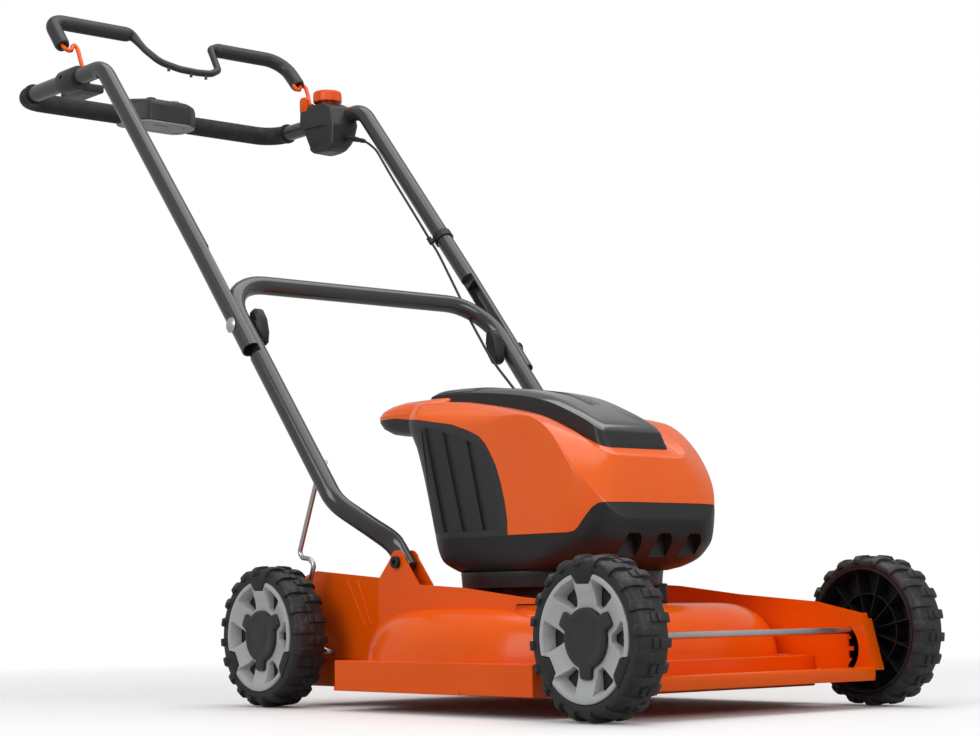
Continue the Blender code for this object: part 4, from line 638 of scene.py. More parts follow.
def wallLoop(z):
    return planLoop(wallHalf(z), wallFront(z), wallRear(z), cornerFront(z), cornerRear(z))


def hoodForm():
    levels = [hood["bottom"] + hood["height"] * k / hood["levels"] for k in range(hood["levels"] + 1)]
    stack = [wallLoop(z) for z in levels]

    def wallPoint(z, k):
        f = (z - levels[0]) / (levels[1] - levels[0])
        i = min(max(int(f), 0), len(levels) - 2)
        t = f - i
        a, b = stack[i][k], stack[i + 1][k]
        return (a[0] * (1 - t) + b[0] * t, a[1] * (1 - t) + b[1] * t)

    crest, seam, middle = (planLoop(*hood[k]) for k in ("crestLoop", "seamLoop", "middleLoop"))
    columns = []
    for k in range(len(crest)):
        z = 0.32
        for _ in range(12):
            x, y = wallPoint(z, k)
            z = 0.5 * z + 0.5 * creaseHeight(y)
        corner = Vector((*wallPoint(z, k), z))
        crestPoint = Vector((*crest[k], crestHeight(crest[k][1])))
        inward = crestPoint - corner
        fold = min(foldRadius(corner.y), 0.45 * inward.length)
        wallTop = Vector((*wallPoint(z - fold, k), z - fold))
        onTop = corner + inward.normalized() * fold
        column = []
        for s in range(hood["wallSteps"]):
            h = hood["bottom"] + (wallTop.z - hood["bottom"]) * (s / hood["wallSteps"]) ** 1.5
            column.append(Vector((*wallPoint(h, k), h)))
        for s in range(7):
            t = s / 6
            column.append(wallTop * (1 - t) ** 2 + corner * 2 * t * (1 - t) + onTop * t * t)
        rise = hood["crestRise"] * min(1.0, inward.length / 0.035)
        for s in range(1, 9):
            t = s / 8
            column.append(onTop.lerp(crestPoint, t) + Vector((0, 0, rise * 4 * t * (1 - t))))
        seamPoint = Vector((*seam[k], seamHeight(seam[k][1])))
        for s in range(1, 5):
            column.append(crestPoint.lerp(seamPoint, s / 4) - Vector((0, 0,
                                                                      hood["seamDip"] * 4 * (s / 4) * (1 - s / 4))))
        innerPoint = Vector((*middle[k], seamHeight(middle[k][1]) - 0.001))
        column.append(seamPoint.lerp(innerPoint, 0.5))
        column.append(innerPoint)
        columns.append(column)
    rings = [list(ring) for ring in zip(*columns)]
    return skin("hoodForm", rings)


beakLevels = [
    (0.35, 0.074, 0.256, 0.046), (0.353, 0.08, 0.274, 0.05), (0.36, 0.0865, 0.289, 0.056),
    (0.368, 0.0895, 0.2965, 0.06),
    (0.375, 0.0895, 0.298, 0.06), (0.382, 0.086, 0.293, 0.058), (0.388, 0.079, 0.282, 0.054),
    (0.3925, 0.068, 0.266, 0.048),
    (0.3945, 0.056, 0.25, 0.04),
]


def beakForm():
    rings = []
    for z, half, rear, radius in beakLevels:
        loop = planLoop(half, 0.15, rear, 0.02, radius)
        rings.append([(x, y, z) for x, y in loop])
    return skin("beakForm", rings)


def baseOutline(gap):
    side, front = hood["baseTop"] + gap, hood["frontBaseTop"] + gap
    return [(0.35, 0.1), (0.35, side), (-0.138, side), (-0.146, side + 0.0015), (-0.151, side + 0.006),
            (-0.166, front - 0.006),
            (-0.171, front - 0.0015), (-0.179, front), (-0.3, front), (-0.3, 0.1)]


def housingOutline(gap):
    # the boundary between the orange shell and the grey housing, seen from the side
    low = hood["baseTop"] + gap
    front = [(-0.0352, low), (-0.034, 0.227), (-0.0285, 0.25), (-0.02, 0.273), (-0.01, 0.294), (0.002, 0.311),
             (0.012, 0.323), (0.024, 0.3325), (0.045, 0.341), (0.079, 0.351)]
    front = [(y + gap, z - gap * 0.7 if k else z) for k, (y, z) in enumerate(front)]
    split = hood["beakSplit"] - gap
    return front + [(0.15, 0.362 - gap), (0.19, 0.3655 - gap), (0.225, split), (0.4, split), (0.4, low)]


batteryBay = {
    "low": (-0.0565, -0.0515, 0.235),
    "high": (0.0565, 0.1215, 0.43),
    "corner": 0.006,
}


def makeHood():
    form = combine(hoodForm(), beakForm(), "UNION")
    pocket = boxPiece("fingerPocket", *hood["fingerPocket"])
    softEdges(pocket, hood["pocketEdge"], 3, 60)
    combine(form, pocket, "DIFFERENCE")
    # the battery's bay, open upwards below the lid
    bay = boxPiece("batteryBay", batteryBay["low"], batteryBay["high"])
    softEdges(bay, batteryBay["corner"], 3, 60)
    combine(form, bay, "DIFFERENCE")
    seam = hood["seam"]

    # orange shell: what is above the base and in front of the housing
    shell = duplicate(form, "hoodShell")
    combine(shell, sidePrism("baseTool", baseOutline(seam)), "DIFFERENCE")
    combine(shell, sidePrism("housingTool", housingOutline(-seam)), "DIFFERENCE")
    placePiece(shell, 20, "body", "orange_plastic", "hood_shell")

    # grey rear housing with its ribbed side panels
    housing = duplicate(form, "hoodHousing")
    combine(housing, sidePrism("housingTool", housingOutline(0.0)), "INTERSECT")
    for side in (-1, 1):
        combine(housing, panelRecess(side), "DIFFERENCE")
        for rib in panelRibs(side):
            combine(housing, rib, "UNION")
    placePiece(housing, 30, "body", "dark_plastic", "rear_housing")

    # black base with its arched vents
    base = form
    base.name = "hoodBase"
    combine(base, sidePrism("baseTool", baseOutline(0.0)), "INTERSECT")
    for vent in frontVents():
        combine(base, vent, "DIFFERENCE")
    placePiece(base, 30, "body", "black_plastic", "hood_base")


panelOutline = [(0.118, 0.2165), (-0.008, 0.2165), (-0.0155, 0.2185), (-0.0185, 0.225), (-0.016, 0.248),
                (-0.008, 0.276), (0.001, 0.297),
                (0.0085, 0.309), (0.018, 0.318), (0.038, 0.326), (0.087, 0.34), (0.118, 0.348), (0.138, 0.35),
                (0.138, 0.345)]
panelRibLines = [((0.0165, 0.216), (0.047, 0.329)), ((0.056, 0.216), (0.094, 0.343)),
                 ((0.0925, 0.216), (0.131, 0.351))]


def panelRecess(side):
    # a shallow bay that follows the housing's side
    return sidePrism("panelRecess", panelOutline, *(side * x for x in hood["recessDepths"]))


def panelRibs(side):
    for (lowY, lowZ), (highY, highZ) in panelRibLines:
        half = hood["ribHalf"]
        outline = [(lowY - half, lowZ), (lowY + half, lowZ), (highY + half, highZ), (highY - half, highZ)]
        yield sidePrism("panelRib", outline, *(side * x for x in hood["ribDepths"]))


def frontVents():
    middle = hood["ventMiddle"]
    for k in range(-1, 2):
        yield skin("vent", [[(k * hood["ventSpacing"] + x * scale, y, middle + (z - middle) * scale) for x,
                             z in hood["vent"]]
                            for y, scale in ((-0.21, 1.0), (-0.166, 0.92))])


makeHood()
print("mower: hood made")


# battery lid: a crowned cover on the hood's seam

lid = {
    "half": 0.0572,
    "front": -0.1395,
    "rear": 0.2055,
    "gap": 0.0006,
    "bulge": 0.0062,
    "seamLoop": (0.0, 0.0, 0.0, 0.014, 0.018),
    "topLoop": (0.0035, 0.0105, 0.003, 0.011, 0.016),
    "softLoop": (0.0058, 0.0135, 0.005, 0.01, 0.015),
    "crownLoop": (0.022, 0.034, 0.02, 0.008, 0.01),
    "spineLoop": (0.012, -0.07, 0.15, 0.006, 0.006),
    "lip": 0.0012,
}
lidTopHeight = curveThrough([(-0.1285, 0.333), (-0.114, 0.3425), (-0.082, 0.3575), (-0.031, 0.3765), (0.02, 0.387),
                             (0.07, 0.3935), (0.113, 0.3975), (0.17, 0.3992), (0.205, 0.3985)])


def lidLoop(side, front, rear, frontRadius, rearRadius):
    # the lid's outline, drawn in from its sides and its two ends
    return planLoop(lid["half"] - side, lid["front"] + front, lid["rear"] - rear, frontRadius, rearRadius)


def makeLid():
    seamLoop, topLoop, softLoop, crownLoop = (lidLoop(*lid[k])
                                              for k in ("seamLoop", "topLoop", "softLoop", "crownLoop"))
    lip = lid["lip"]
    rings = []
    rings.append([(x * 0.95, y, seamHeight(y) - 0.004) for x, y in seamLoop])
    rings.append([(x, y, seamHeight(y) - 0.001) for x, y in seamLoop])
    rings.append([(x, y, seamHeight(y) + lid["gap"]) for x, y in seamLoop])
    for t in (0.3, 0.6, 0.85):
        rings.append([(a[0] + (b[0] - a[0]) * t, a[1] + (b[1] - a[1]) * t,
                       seamHeight(a[1]) + (lidTopHeight(b[1]) - seamHeight(a[1])) * t) for a,
                       b in zip(seamLoop, topLoop)])
    rings.append([(x, y, lidTopHeight(y) - 0.0004) for x, y in topLoop])
    rings.append([(x, y, lidTopHeight(y) + lip) for x, y in softLoop])
    for t in (0.33, 0.66, 1.0):
        bulge = lid["bulge"] * (1 - (1 - t) ** 2)
        rings.append([(a[0] + (b[0] - a[0]) * t, a[1] + (b[1] - a[1]) * t,
                       lidTopHeight(a[1] + (b[1] - a[1]) * t * 0.55) + lip + bulge) for a,
                       b in zip(softLoop, crownLoop)])
    rings.append([(x, y, lidTopHeight(y - 0.006) + 0.0016 + lid["bulge"] * 1.12) for x,
                  y in planLoop(*lid["spineLoop"])])
    piece = skin("batteryLidCover", rings)
    placePiece(piece, 30, "battery_lid", "gloss_black", "battery_lid")
    piece.data.materials.append(finishes["blackMoulding"])
    count = len(seamLoop)
    for face in piece.data.polygons:
        if face.index < count * 6:
            face.material_index = 1


makeLid()
print("mower: lid made")


# wheels: each piece is made once about the X axis and copied to the four places

wheel = {
    "radius": 0.09,
    "halfWidth": 0.02475,
    "trackHalf": 0.2509,
    "base": 0.616,
    "lugs": 20,
    "lugHeight": 0.0042,
    "rimRadius": 0.0702,
    "rimDish": 0.0075,
    "capRadius": 0.033,
    "capLobe": 0.044,
    "coreRadius": 0.0752,
    "windows": 6,
    "windowInner": 0.035,
    "windowOuter": 0.0632,
    "notches": 3,
    "notch": ((-0.01, 0.058), (0.01, 0.058), (0.0225, 0.074), (-0.0225, 0.074)),
    "tab": ((-0.0094, 0.0586), (0.0094, 0.0586), (0.02, 0.072), (-0.02, 0.072)),
    "lobeHalf": math.radians(17),
    "lobeEase": math.radians(7),
    "coreRibs": 12,
    "rib": ((-0.0006, 0.012), (0.0006, 0.012), (0.0006, 0.0716), (-0.0006, 0.0716)),
    "edge": 0.0007,
}


def selectFaces(piece, wanted):
    makeActive(piece)
    bpy.ops.object.mode_set(mode="EDIT")
    bpy.ops.mesh.select_mode(type="FACE")
    bpy.ops.mesh.select_all(action="DESELECT")
    bpy.ops.object.mode_set(mode="OBJECT")
    for face in piece.data.polygons:
        face.select = wanted(face)
    bpy.ops.object.mode_set(mode="EDIT")


def spunProfile(name, profile, steps, closed=True):
    # an outline of (x, radius) pairs turned about the X axis
    clearSelection()
    points = [(x, 0.0, r) for x, r in profile]
    count = len(points)
    edges = [(k, k + 1) for k in range(count - 1)] + ([(count - 1, 0)] if closed else [])
    piece = meshPiece(name, points, [], edges)
    editAll(piece)
    bpy.ops.mesh.spin(steps=steps, angle=math.tau, center=(0, 0, 0), axis=(1, 0, 0), use_auto_merge=True)
    bpy.ops.mesh.select_all(action="SELECT")
    bpy.ops.mesh.remove_doubles(threshold=0.00001)
    bpy.ops.mesh.normals_make_consistent(inside=False)
    bpy.ops.object.mode_set(mode="OBJECT")
    return piece


def makeTyre():
    w = wheel["halfWidth"] - 0.0016
    profile = [
        (-w + 0.006, wheel["rimRadius"] + 0.0004), (-w + 0.0004, wheel["rimRadius"] + 0.0006),
        (-w, wheel["rimRadius"] + 0.0016),
        (-w, 0.0772), (-w + 0.0006, 0.0822), (-w + 0.0044, 0.0852), (-0.0135, 0.0858), (-0.0045, 0.086),
        (0.0045, 0.086), (0.0135, 0.0858), (w - 0.0044, 0.0852), (w - 0.0006, 0.0822), (w, 0.079),
        (w, wheel["coreRadius"] + 0.0004),
        (-w + 0.006, wheel["coreRadius"] + 0.0004),
    ]
    steps = wheel["lugs"] * 8
    tyre = spunProfile("tyre", profile, steps)

    def cell(face):
        turn = math.degrees(math.atan2(face.center.y, face.center.z)) % 360
        return int(turn / 360 * steps) % 8

    def onShoulder(face, side):
        reach = math.hypot(face.center.y, face.center.z)
        return face.center.x * side > 0.0046 and reach > 0.079 and abs(face.normal.x) < 0.999 or (
            face.center.x * side > w - 0.001 and reach > 0.0775)

    for side, cells in ((-1, (1, 2, 3)), (1, (5, 6, 7))):
        selectFaces(tyre, lambda face: onShoulder(face, side) and cell(face) in cells)
        bpy.ops.mesh.extrude_region_shrink_fatten(TRANSFORM_OT_shrink_fatten={"value": wheel["lugHeight"] * 0.92})
        bpy.ops.object.mode_set(mode="OBJECT")
    selectFaces(tyre, lambda face: abs(face.center.x) < 0.0044 and math.hypot(face.center.y, face.center.z) > 0.084
                and cell(face) not in (0, 4))
    bpy.ops.mesh.extrude_region_shrink_fatten(TRANSFORM_OT_shrink_fatten={"value": wheel["lugHeight"] * 0.62})
    bpy.ops.object.mode_set(mode="OBJECT")
    # no lug reaches past the wheel's radius or the ground
    for vertex in tyre.data.vertices:
        reach = math.hypot(vertex.co.y, vertex.co.z)
        limit = wheel["radius"] - 0.0001
        if reach > limit:
            vertex.co.y *= limit / reach
            vertex.co.z *= limit / reach
    softEdges(tyre, wheel["edge"], 2, 34)
    smoothFaces(tyre, 36)
    return tyre


def turnAboutX(piece, degrees):
    piece.rotation_euler.x = math.radians(degrees)
    settle(piece)
    return piece


def makeRim():
    w = wheel["halfWidth"]
    back = -w + 0.015
    profile = [
        (back, 0.01), (back, wheel["rimRadius"] - 0.003), (-w + 0.003, wheel["rimRadius"]),
        (-w + 0.0012, wheel["rimRadius"]),
        (-w + 0.0001, wheel["rimRadius"] - 0.0012), (-w + 0.0001, 0.0625), (-w + 0.0016, 0.059),
        (-w + wheel["rimDish"] - 0.0008, 0.0455), (-w + wheel["rimDish"], 0.043), (-w + wheel["rimDish"], 0.01),
    ]
    rim = spunProfile("rim", profile, 96)
    inner, outer = wheel["windowInner"], wheel["windowOuter"]
    for k in range(wheel["windows"]):
        outline = [(-0.0052, inner), (0.0052, inner), (0.0186, outer - 0.0032), (0.017, outer - 0.0006),
                   (0.0, outer + 0.0016),
                   (-0.017, outer - 0.0006), (-0.0186, outer - 0.0032)]
        deep = [(y * 0.62, 0.0385 + (z - inner) * 0.66) for y, z in outline]
        rings = [[(-w - 0.002, y * 1.06, z + 0.0006) for y, z in outline], [(-w + 0.0165, y, z) for y, z in deep]]
        window = skin("window", rings)
        turnAboutX(window, 60 * k + 30)
        combine(rim, window, "DIFFERENCE")
    for k in range(wheel["notches"]):
        notch = sidePrism("notch", wheel["notch"], -w - 0.002, -w + 0.02)
        turnAboutX(notch, 120 * k)
        combine(rim, notch, "DIFFERENCE")
    softEdges(rim, wheel["edge"], 2, 30)
    smoothFaces(rim, 32)
    return rim


def makeTabs():
    # the black core shows through the three notches of the rim
    w = wheel["halfWidth"]
    tabs = []
    for k in range(wheel["notches"]):
        tab = sidePrism("tab", wheel["tab"], -w + 0.0008, -w + 0.012)
        turnAboutX(tab, 120 * k)
        softEdges(tab, 0.0008, 2, 30)
        tabs.append(tab)
    return tabs


def makeCap():
    w = wheel["halfWidth"]
    outline = []
    for k in range(144):
        angle = math.tau * k / 144
        lobe = max(math.cos(angle - math.radians(30 + 120 * j)) for j in range(3))
        off = math.acos(min(1.0, lobe))
        reach = wheel["capRadius"]
        if off < wheel["lobeHalf"]:
            t = min(1.0, (wheel["lobeHalf"] - off) / wheel["lobeEase"])
            t = t * t * (3 - 2 * t)
            reach += (wheel["capLobe"] - wheel["capRadius"]) * t
        outline.append((reach * math.cos(angle), reach * math.sin(angle)))
    base = -w + wheel["rimDish"] + 0.0005
    rings = []
    for x, scale in ((base, 1.0), (base - 0.0036, 0.995), (base - 0.0048, 0.975), (base - 0.0054, 0.93),
                     (base - 0.006, 0.8), (base - 0.0052, 0.72), (base - 0.0052, 0.4), (base - 0.0056, 0.3),
                     (base - 0.0056, 0.05)):
        rings.append([(x, y * scale, z * scale) for y, z in outline])
    # only the rim of the cap follows the lobes; its face is round
    for ring, blendShare, share in zip(rings[4:], (0.55, 0.8, 1.0, 1.0, 1.0), (0.84, 0.76, 0.42, 0.3, 0.05)):
        for k, (x, y, z) in enumerate(ring):
            reach = math.hypot(y, z)
            target = wheel["capRadius"] * share
            scale = (reach + (target - reach) * blendShare) / reach
            ring[k] = (x, y * scale, z * scale)
    cap = skin("cap", rings)
    smoothFaces(cap, 32)
    return cap


def makeCore():
    # black dish behind the rim, open towards the mower, with thin ribs round its hub
    w = wheel["halfWidth"]
    front = -w + 0.0156
    profile = [
        (front, 0.0046), (front, 0.064), (-w + 0.0066, wheel["rimRadius"] - 0.0006),
        (-w + 0.0066, wheel["coreRadius"]),
        (w - 0.0012, wheel["coreRadius"]), (w - 0.001, wheel["coreRadius"] - 0.0006),
        (w - 0.001, wheel["coreRadius"] - 0.0024),
        (w - 0.0014, wheel["coreRadius"] - 0.003), (front + 0.003, 0.07), (front + 0.0022, 0.066),
        (front + 0.0022, 0.0145),
        (w - 0.0052, 0.0135), (w - 0.0042, 0.0125), (w - 0.0042, 0.0046),
    ]
    core = spunProfile("core", profile, 72)
    for k in range(wheel["coreRibs"]):
        rib = sidePrism("rib", wheel["rib"], front + 0.001, w - 0.01)
        turnAboutX(rib, 30 * k + 12)
        combine(core, rib, "UNION")
    hoop = spunProfile("hoop", [(front + 0.001, 0.043), (w - 0.012, 0.043), (w - 0.012, 0.0442),
                                (front + 0.001, 0.0442)], 72)
    combine(core, hoop, "UNION")
    smoothFaces(core, 30)
    return core


def makeWheels():
    tyre, rim, cap, core = makeTyre(), makeRim(), makeCap(), makeCore()
    for tab in makeTabs():
        combine(core, tab, "UNION")
    smoothFaces(core, 30)
    kinds = (("tyre", tyre, "tyre_rubber"), ("rim", rim, "rim_plastic"), ("cap", cap, "dark_plastic"),
             ("core", core, "black_plastic"))
    for side in ("right", "left"):
        for end in ("front", "rear"):
            x = wheel["trackHalf"] - wheel["halfWidth"]
            y = wheel["base"] / 2 * (1 if end == "rear" else -1) + midY
            for kind, shape, slot in kinds:
                piece = duplicate(shape, f"{side}{end.capitalize()}Wheel{kind.capitalize()}")
                piece.rotation_euler.z = 0.0 if side == "right" else math.pi
                piece.location = (-x if side == "right" else x, y, wheel["radius"])
                settle(piece)
                dress(piece, f"{side}_{end}_wheel", slot, f"{side}_{end}_{kind}")
    for _, shape, _ in kinds:
        bpy.data.objects.remove(shape)


makeWheels()
print("mower: wheels made")


# handle: two swept tubes with true bends, pressed ears and an open channel at the fold

handle = {
    "tubeRadius": 0.0127,
    "angle": math.radians(50.1),
    "ear": (0.103, 0.18),
    "earMiddle": 0.17,
    "earRoom": 0.0184,
    "legX": 0.23,
    "upperX": 0.2378,
    "fold": 0.4146,
    "crossbar": 0.502,
    "crossbarCorner": 0.07,
    "bendY": 0.73,
    "barY": 0.985,
    "barZ": 0.92,
    "gripCorner": 0.036,
    "gripRadius": 0.015,
    "gripReturn": 0.04,
    "channelLength": 0.15,
    "channelTail": 0.045,
    "channelX": 0.2343,
    "bendRadius": 0.045,
    "sides": 28,
}


def roundedPath(points, radii, steps=10):
    # each inner corner becomes an arc of its own radius
    points = [Vector(p) for p in points]
    path = [points[0]]
    for before, corner, after, radius in zip(points, points[1:], points[2:], radii):
        a = (before - corner).normalized()
        b = (after - corner).normalized()
        half = a.angle(b) / 2
        reach = min(radius / math.tan(half), (before - corner).length * 0.95, (after - corner).length * 0.95)
        bend = reach * math.tan(half)
        middle = corner + (a + b).normalized() * (bend / math.sin(half))
        start, end = corner + a * reach - middle, corner + b * reach - middle
        sweep = start.angle(end)
        for k in range(steps + 1):
            t = k / steps
            path.append(middle + (start * math.sin((1 - t) * sweep) + end * math.sin(t * sweep)) / math.sin(sweep))
    path.append(points[-1])
    return path


def withStops(path, spacing):
    # extra points on the long straight runs
    dense = [Vector(path[0])]
    for a, b in zip(path, path[1:]):
        a, b = Vector(a), Vector(b)
        count = max(1, round((b - a).length / spacing))
        dense += [a.lerp(b, k / count) for k in range(1, count + 1)]
    return dense


def sweptTube(name, path, radius, sides=24, widths=None, closeEnds=True):
    # a tube about a path, carried along without twist
    points = [Vector(p) for p in path]
    rings = []
    across = None
    for k, point in enumerate(points):
        before, after = points[max(k - 1, 0)], points[min(k + 1, len(points) - 1)]
        inside = 0 < k < len(points) - 1
        along = (after - point).normalized() + (point - before).normalized() if inside else after - before
        along.normalize()
        if across is None:
            across = along.orthogonal().normalized()
        across = (across - along * across.dot(along)).normalized()
        other = along.cross(across)
        wide = radius * (widths[k] if widths else 1.0)
        turns = [math.tau * n / sides for n in range(sides)]
        rings.append([point + (across * math.cos(a) + other * math.sin(a)) * wide for a in turns])
    return skin(name, rings, closeEnds, closeEnds)


def onLeg(distance, x=0.0):
    y, z = handle["ear"]
    return Vector((x, y + distance * math.cos(handle["angle"]), z + distance * math.sin(handle["angle"])))


def lined(piece, distance):
    # a piece modelled along +Y follows the leg's line from a point on it
    piece.rotation_euler.x = handle["angle"]
    piece.location = onLeg(distance)
    settle(piece)
    return piece


def pressEars(piece):
    start, full = 0.066, 0.03
    c, s = math.cos(handle["angle"]), math.sin(handle["angle"])
    for vertex in piece.data.vertices:
        dy, dz = vertex.co.y - handle["ear"][0], vertex.co.z - handle["ear"][1]
        run = dy * c + dz * s
        share = min(1.0, max(0.0, (start - run) / (start - full)))
        share = share * share * (3 - 2 * share)
        thin = 1 + (handle["earRoom"] / 2 / handle["tubeRadius"] - 1) * share
        lean = handle["earMiddle"] if run < full else min(handle["earMiddle"] + (run - full) * 0.9, abs(vertex.co.x))
        side = 1 if vertex.co.x > 0 else -1
        vertex.co.x = side * (lean + (abs(vertex.co.x) - lean) * thin)
        spread = (-dy * s + dz * c) * 0.15 * share
        vertex.co.y -= spread * s
        vertex.co.z += spread * c


def makeLowerHandle():
    half = [(handle["earMiddle"], -0.012), (handle["earMiddle"], 0.032), (handle["legX"], 0.098),
            (handle["legX"], handle["crossbar"])]
    left = [onLeg(s, x) for x, s in half]
    right = [onLeg(s, -x) for x, s in reversed(half)]
    corner = handle["crossbarCorner"]
    path = roundedPath(left + right, (0.045, 0.045, corner, corner, 0.045, 0.045))
    tube = sweptTube("lowerHandleTube", withStops(path, 0.012), handle["tubeRadius"], handle["sides"])
    pressEars(tube)
    for side in (-1, 1):
        low, high = sorted((side * (handle["channelX"] - 0.0003), side * (handle["channelX"] + 0.03)))
        dent = lined(boxPiece("dent", (low, -handle["channelTail"] - 0.012, -0.03), (high, 0.08, 0.03)),
                     handle["fold"])
        combine(tube, dent, "DIFFERENCE")
    placePiece(tube, 34, "lower_handle", "tube_paint", "lower_handle")


def makeUpperHandle():
    foot = onLeg(handle["fold"] - handle["channelTail"], handle["upperX"])
    kink = onLeg(handle["fold"] + handle["channelLength"], handle["upperX"])
    left = [foot, kink, (handle["upperX"], handle["bendY"], handle["barZ"]),
            (handle["upperX"], handle["barY"], handle["barZ"])]
    right = [(-x, y, z) for x, y, z in reversed(left)]
    bend, corner = handle["bendRadius"], handle["gripCorner"]
    path = roundedPath(left + right, (0.02, bend, corner, corner, bend, 0.02))
    tube = sweptTube("upperHandleTube", path, handle["tubeRadius"], handle["sides"])
    for side in (-1, 1):
        low, high = sorted((side * (handle["channelX"] - 0.05), side * handle["channelX"]))
        opening = boxPiece("opening", (low, -handle["channelTail"] - 0.02, -0.03),
                           (high, handle["channelLength"], 0.03))
        combine(tube, lined(opening, handle["fold"]), "DIFFERENCE")
        clearSelection()
        length = handle["channelTail"] + handle["channelLength"] + 0.008
        bpy.ops.mesh.primitive_cylinder_add(vertices=24, radius=handle["tubeRadius"] - 0.002, depth=length,
                                            location=(side * handle["upperX"],
                                                      (handle["channelLength"] - handle["channelTail"] - 0.032) / 2,
                                                      0),
                                            rotation=(math.pi / 2, 0, 0))
        bore = bpy.context.object
        settle(bore)
        combine(tube, lined(bore, handle["fold"]), "DIFFERENCE")
    placePiece(tube, 34, "upper_handle", "tube_paint", "upper_handle")


def makeGrips():
    # foam sleeves with a moulded ring at the end that points to the front
    for side, name in ((-1, "right"), (1, "left")):
        endY = handle["barY"] - handle["gripReturn"]
        path = roundedPath([(side * 0.0633, handle["barY"], handle["barZ"]),
                            (side * handle["upperX"], handle["barY"], handle["barZ"]),
                            (side * handle["upperX"], endY, handle["barZ"])], (handle["gripCorner"],), 14)
        path = withStops(path, 0.004)
        total = len(path) - 1
        widths = [1.0 + 0.012 * math.sin(math.pi * k / total) for k in range(total + 1)]
        widths[0] = widths[-1] = 0.94
        sleeve = sweptTube(f"{name}GripSleeve", path, handle["gripRadius"] - 0.0001, 32, widths)
        placePiece(sleeve, 50, "upper_handle", "grip_foam", f"{name}_grip")
        ring = spunRing(f"{name}GripRing", (0.0128, 0.0163), 0.007, 0.0012)
        ring.rotation_euler.z = math.pi / 2
        ring.location = (side * handle["upperX"], endY - 0.0022, handle["barZ"])
        settle(ring)
        toFrame(ring)
        dress(ring, "upper_handle", "grip_foam", finish="blackMoulding")


def spunRing(name, radii, width, edge):
    # a ring about the X axis with rounded outer edges
    inner, outer = radii
    half = width / 2
    profile = [(-half, inner), (-half, outer - edge), (-half + edge * 0.3, outer - edge * 0.3), (-half + edge, outer),
               (half - edge, outer), (half - edge * 0.3, outer - edge * 0.3), (half, outer - edge), (half, inner)]
    ring = spunProfile(name, profile, 48)
    smoothFaces(ring, 40)
    return ring


makeLowerHandle()
makeUpperHandle()
makeGrips()
print("mower: handle made")


# switch box, start button, rod guide, near bearing and middle panel

controls = {
    "boxInner": 0.2,
    "boxSteps": ((0.2, 0.0, 0.003), (0.2009, 0.02, 0.0012), (0.2026, 0.05, 0.0), (0.236, 0.6, 0.0),
                 (0.245, 0.9, 0.0022), (0.25, 1.0, 0.006), (0.2518, 1.0, 0.0095)),
    "innerOutline": ((0.853, 0.946), (0.8545, 0.912), (0.845, 0.902), (0.824, 0.865), (0.815, 0.86), (0.79, 0.8585),
                     (0.775, 0.8575),
                     (0.767, 0.8615), (0.7628, 0.868), (0.761, 0.9), (0.7705, 0.93), (0.788, 0.94), (0.798, 0.946)),
    "outerOutline": ((0.853, 0.946), (0.8545, 0.912), (0.845, 0.902), (0.83, 0.868), (0.821, 0.86), (0.8, 0.8605),
                     (0.786, 0.863),
                     (0.775, 0.8685), (0.764, 0.878), (0.7545, 0.902), (0.764, 0.933), (0.784, 0.9415),
                     (0.796, 0.946)),
    "pocket": ((0.87, 0.9055), (0.792, 0.903), (0.774, 0.8995), (0.769, 0.895), (0.768, 0.878), (0.772, 0.87),
               (0.78, 0.8688), (0.87, 0.8735)),
    "pocketDepth": 0.0036,
    "boot": ((0.229, 0.764, 0.8818), (0.224, 0.7063, 0.8646)),
    "button": (0.225, 0.809),
    "buttonRadius": 0.024,
    "buttonLow": 0.9463,
    "buttonHigh": 0.9642,
    "buttonFlutes": 14,
    "seatFloor": 0.9418,
    "stemRadius": 0.0125,
    "panelHalf": 0.063,
    "panelLeftEnd": 0.0655,
    "panelY": (0.936, 1.01),
    "panelZ": (0.905, 0.946),
    "keyX": 0.022,
    "keyY": 0.953,
    "keyRadius": 0.008,
    "corner": 0.0022,
    "backEdge": ((0.195, 0.9325), (0.21, 0.948), (0.195, 0.96)),
    "rodSlot": ((0.215, 0.84, 0.935), (0.229, 0.87, 0.96)),
    "bootRadius": 0.0062,
    "bootStops": ((0.0, 1.0), (0.12, 1.0), (0.16, 0.86), (0.66, 0.62), (0.7, 0.52), (0.76, 0.52), (0.8, 0.62),
                  (0.96, 0.55), (1.0, 0.44)),
    "fluteDepth": 0.0011,
    "guide": ((0.8325, 0.934), (0.8522, 0.934), (0.8522, 0.9555), (0.848, 0.9585), (0.837, 0.958), (0.8335, 0.9545)),
    "cheek": ((0.822, 0.909), (0.863, 0.909), (0.863, 0.938), (0.857, 0.9475), (0.838, 0.9475), (0.822, 0.93)),
    "screws": ((-0.043, 0.992), (0.049, 0.992), (-0.034, 0.954), (0.04, 0.952)),
}


def grownOutline(outline, amount):
    # moves every corner of an outline inwards by an amount
    count = len(outline)
    area = sum(outline[k - 1][0] * outline[k][1] - outline[k][0] * outline[k - 1][1] for k in range(count))
    turn = 1 if area > 0 else -1
    grown = []
    for k in range(count):
        before, here, after = Vector(outline[k - 1]), Vector(outline[k]), Vector(outline[(k + 1) % count])
        a = (here - before).normalized()
        b = (after - here).normalized()
        normalA, normalB = Vector((-a.y, a.x)) * turn, Vector((-b.y, b.x)) * turn
        middle = (normalA + normalB).normalized()
        grown.append(tuple(here + middle * (amount / max(0.3, middle.dot(normalA)))))
    return grown


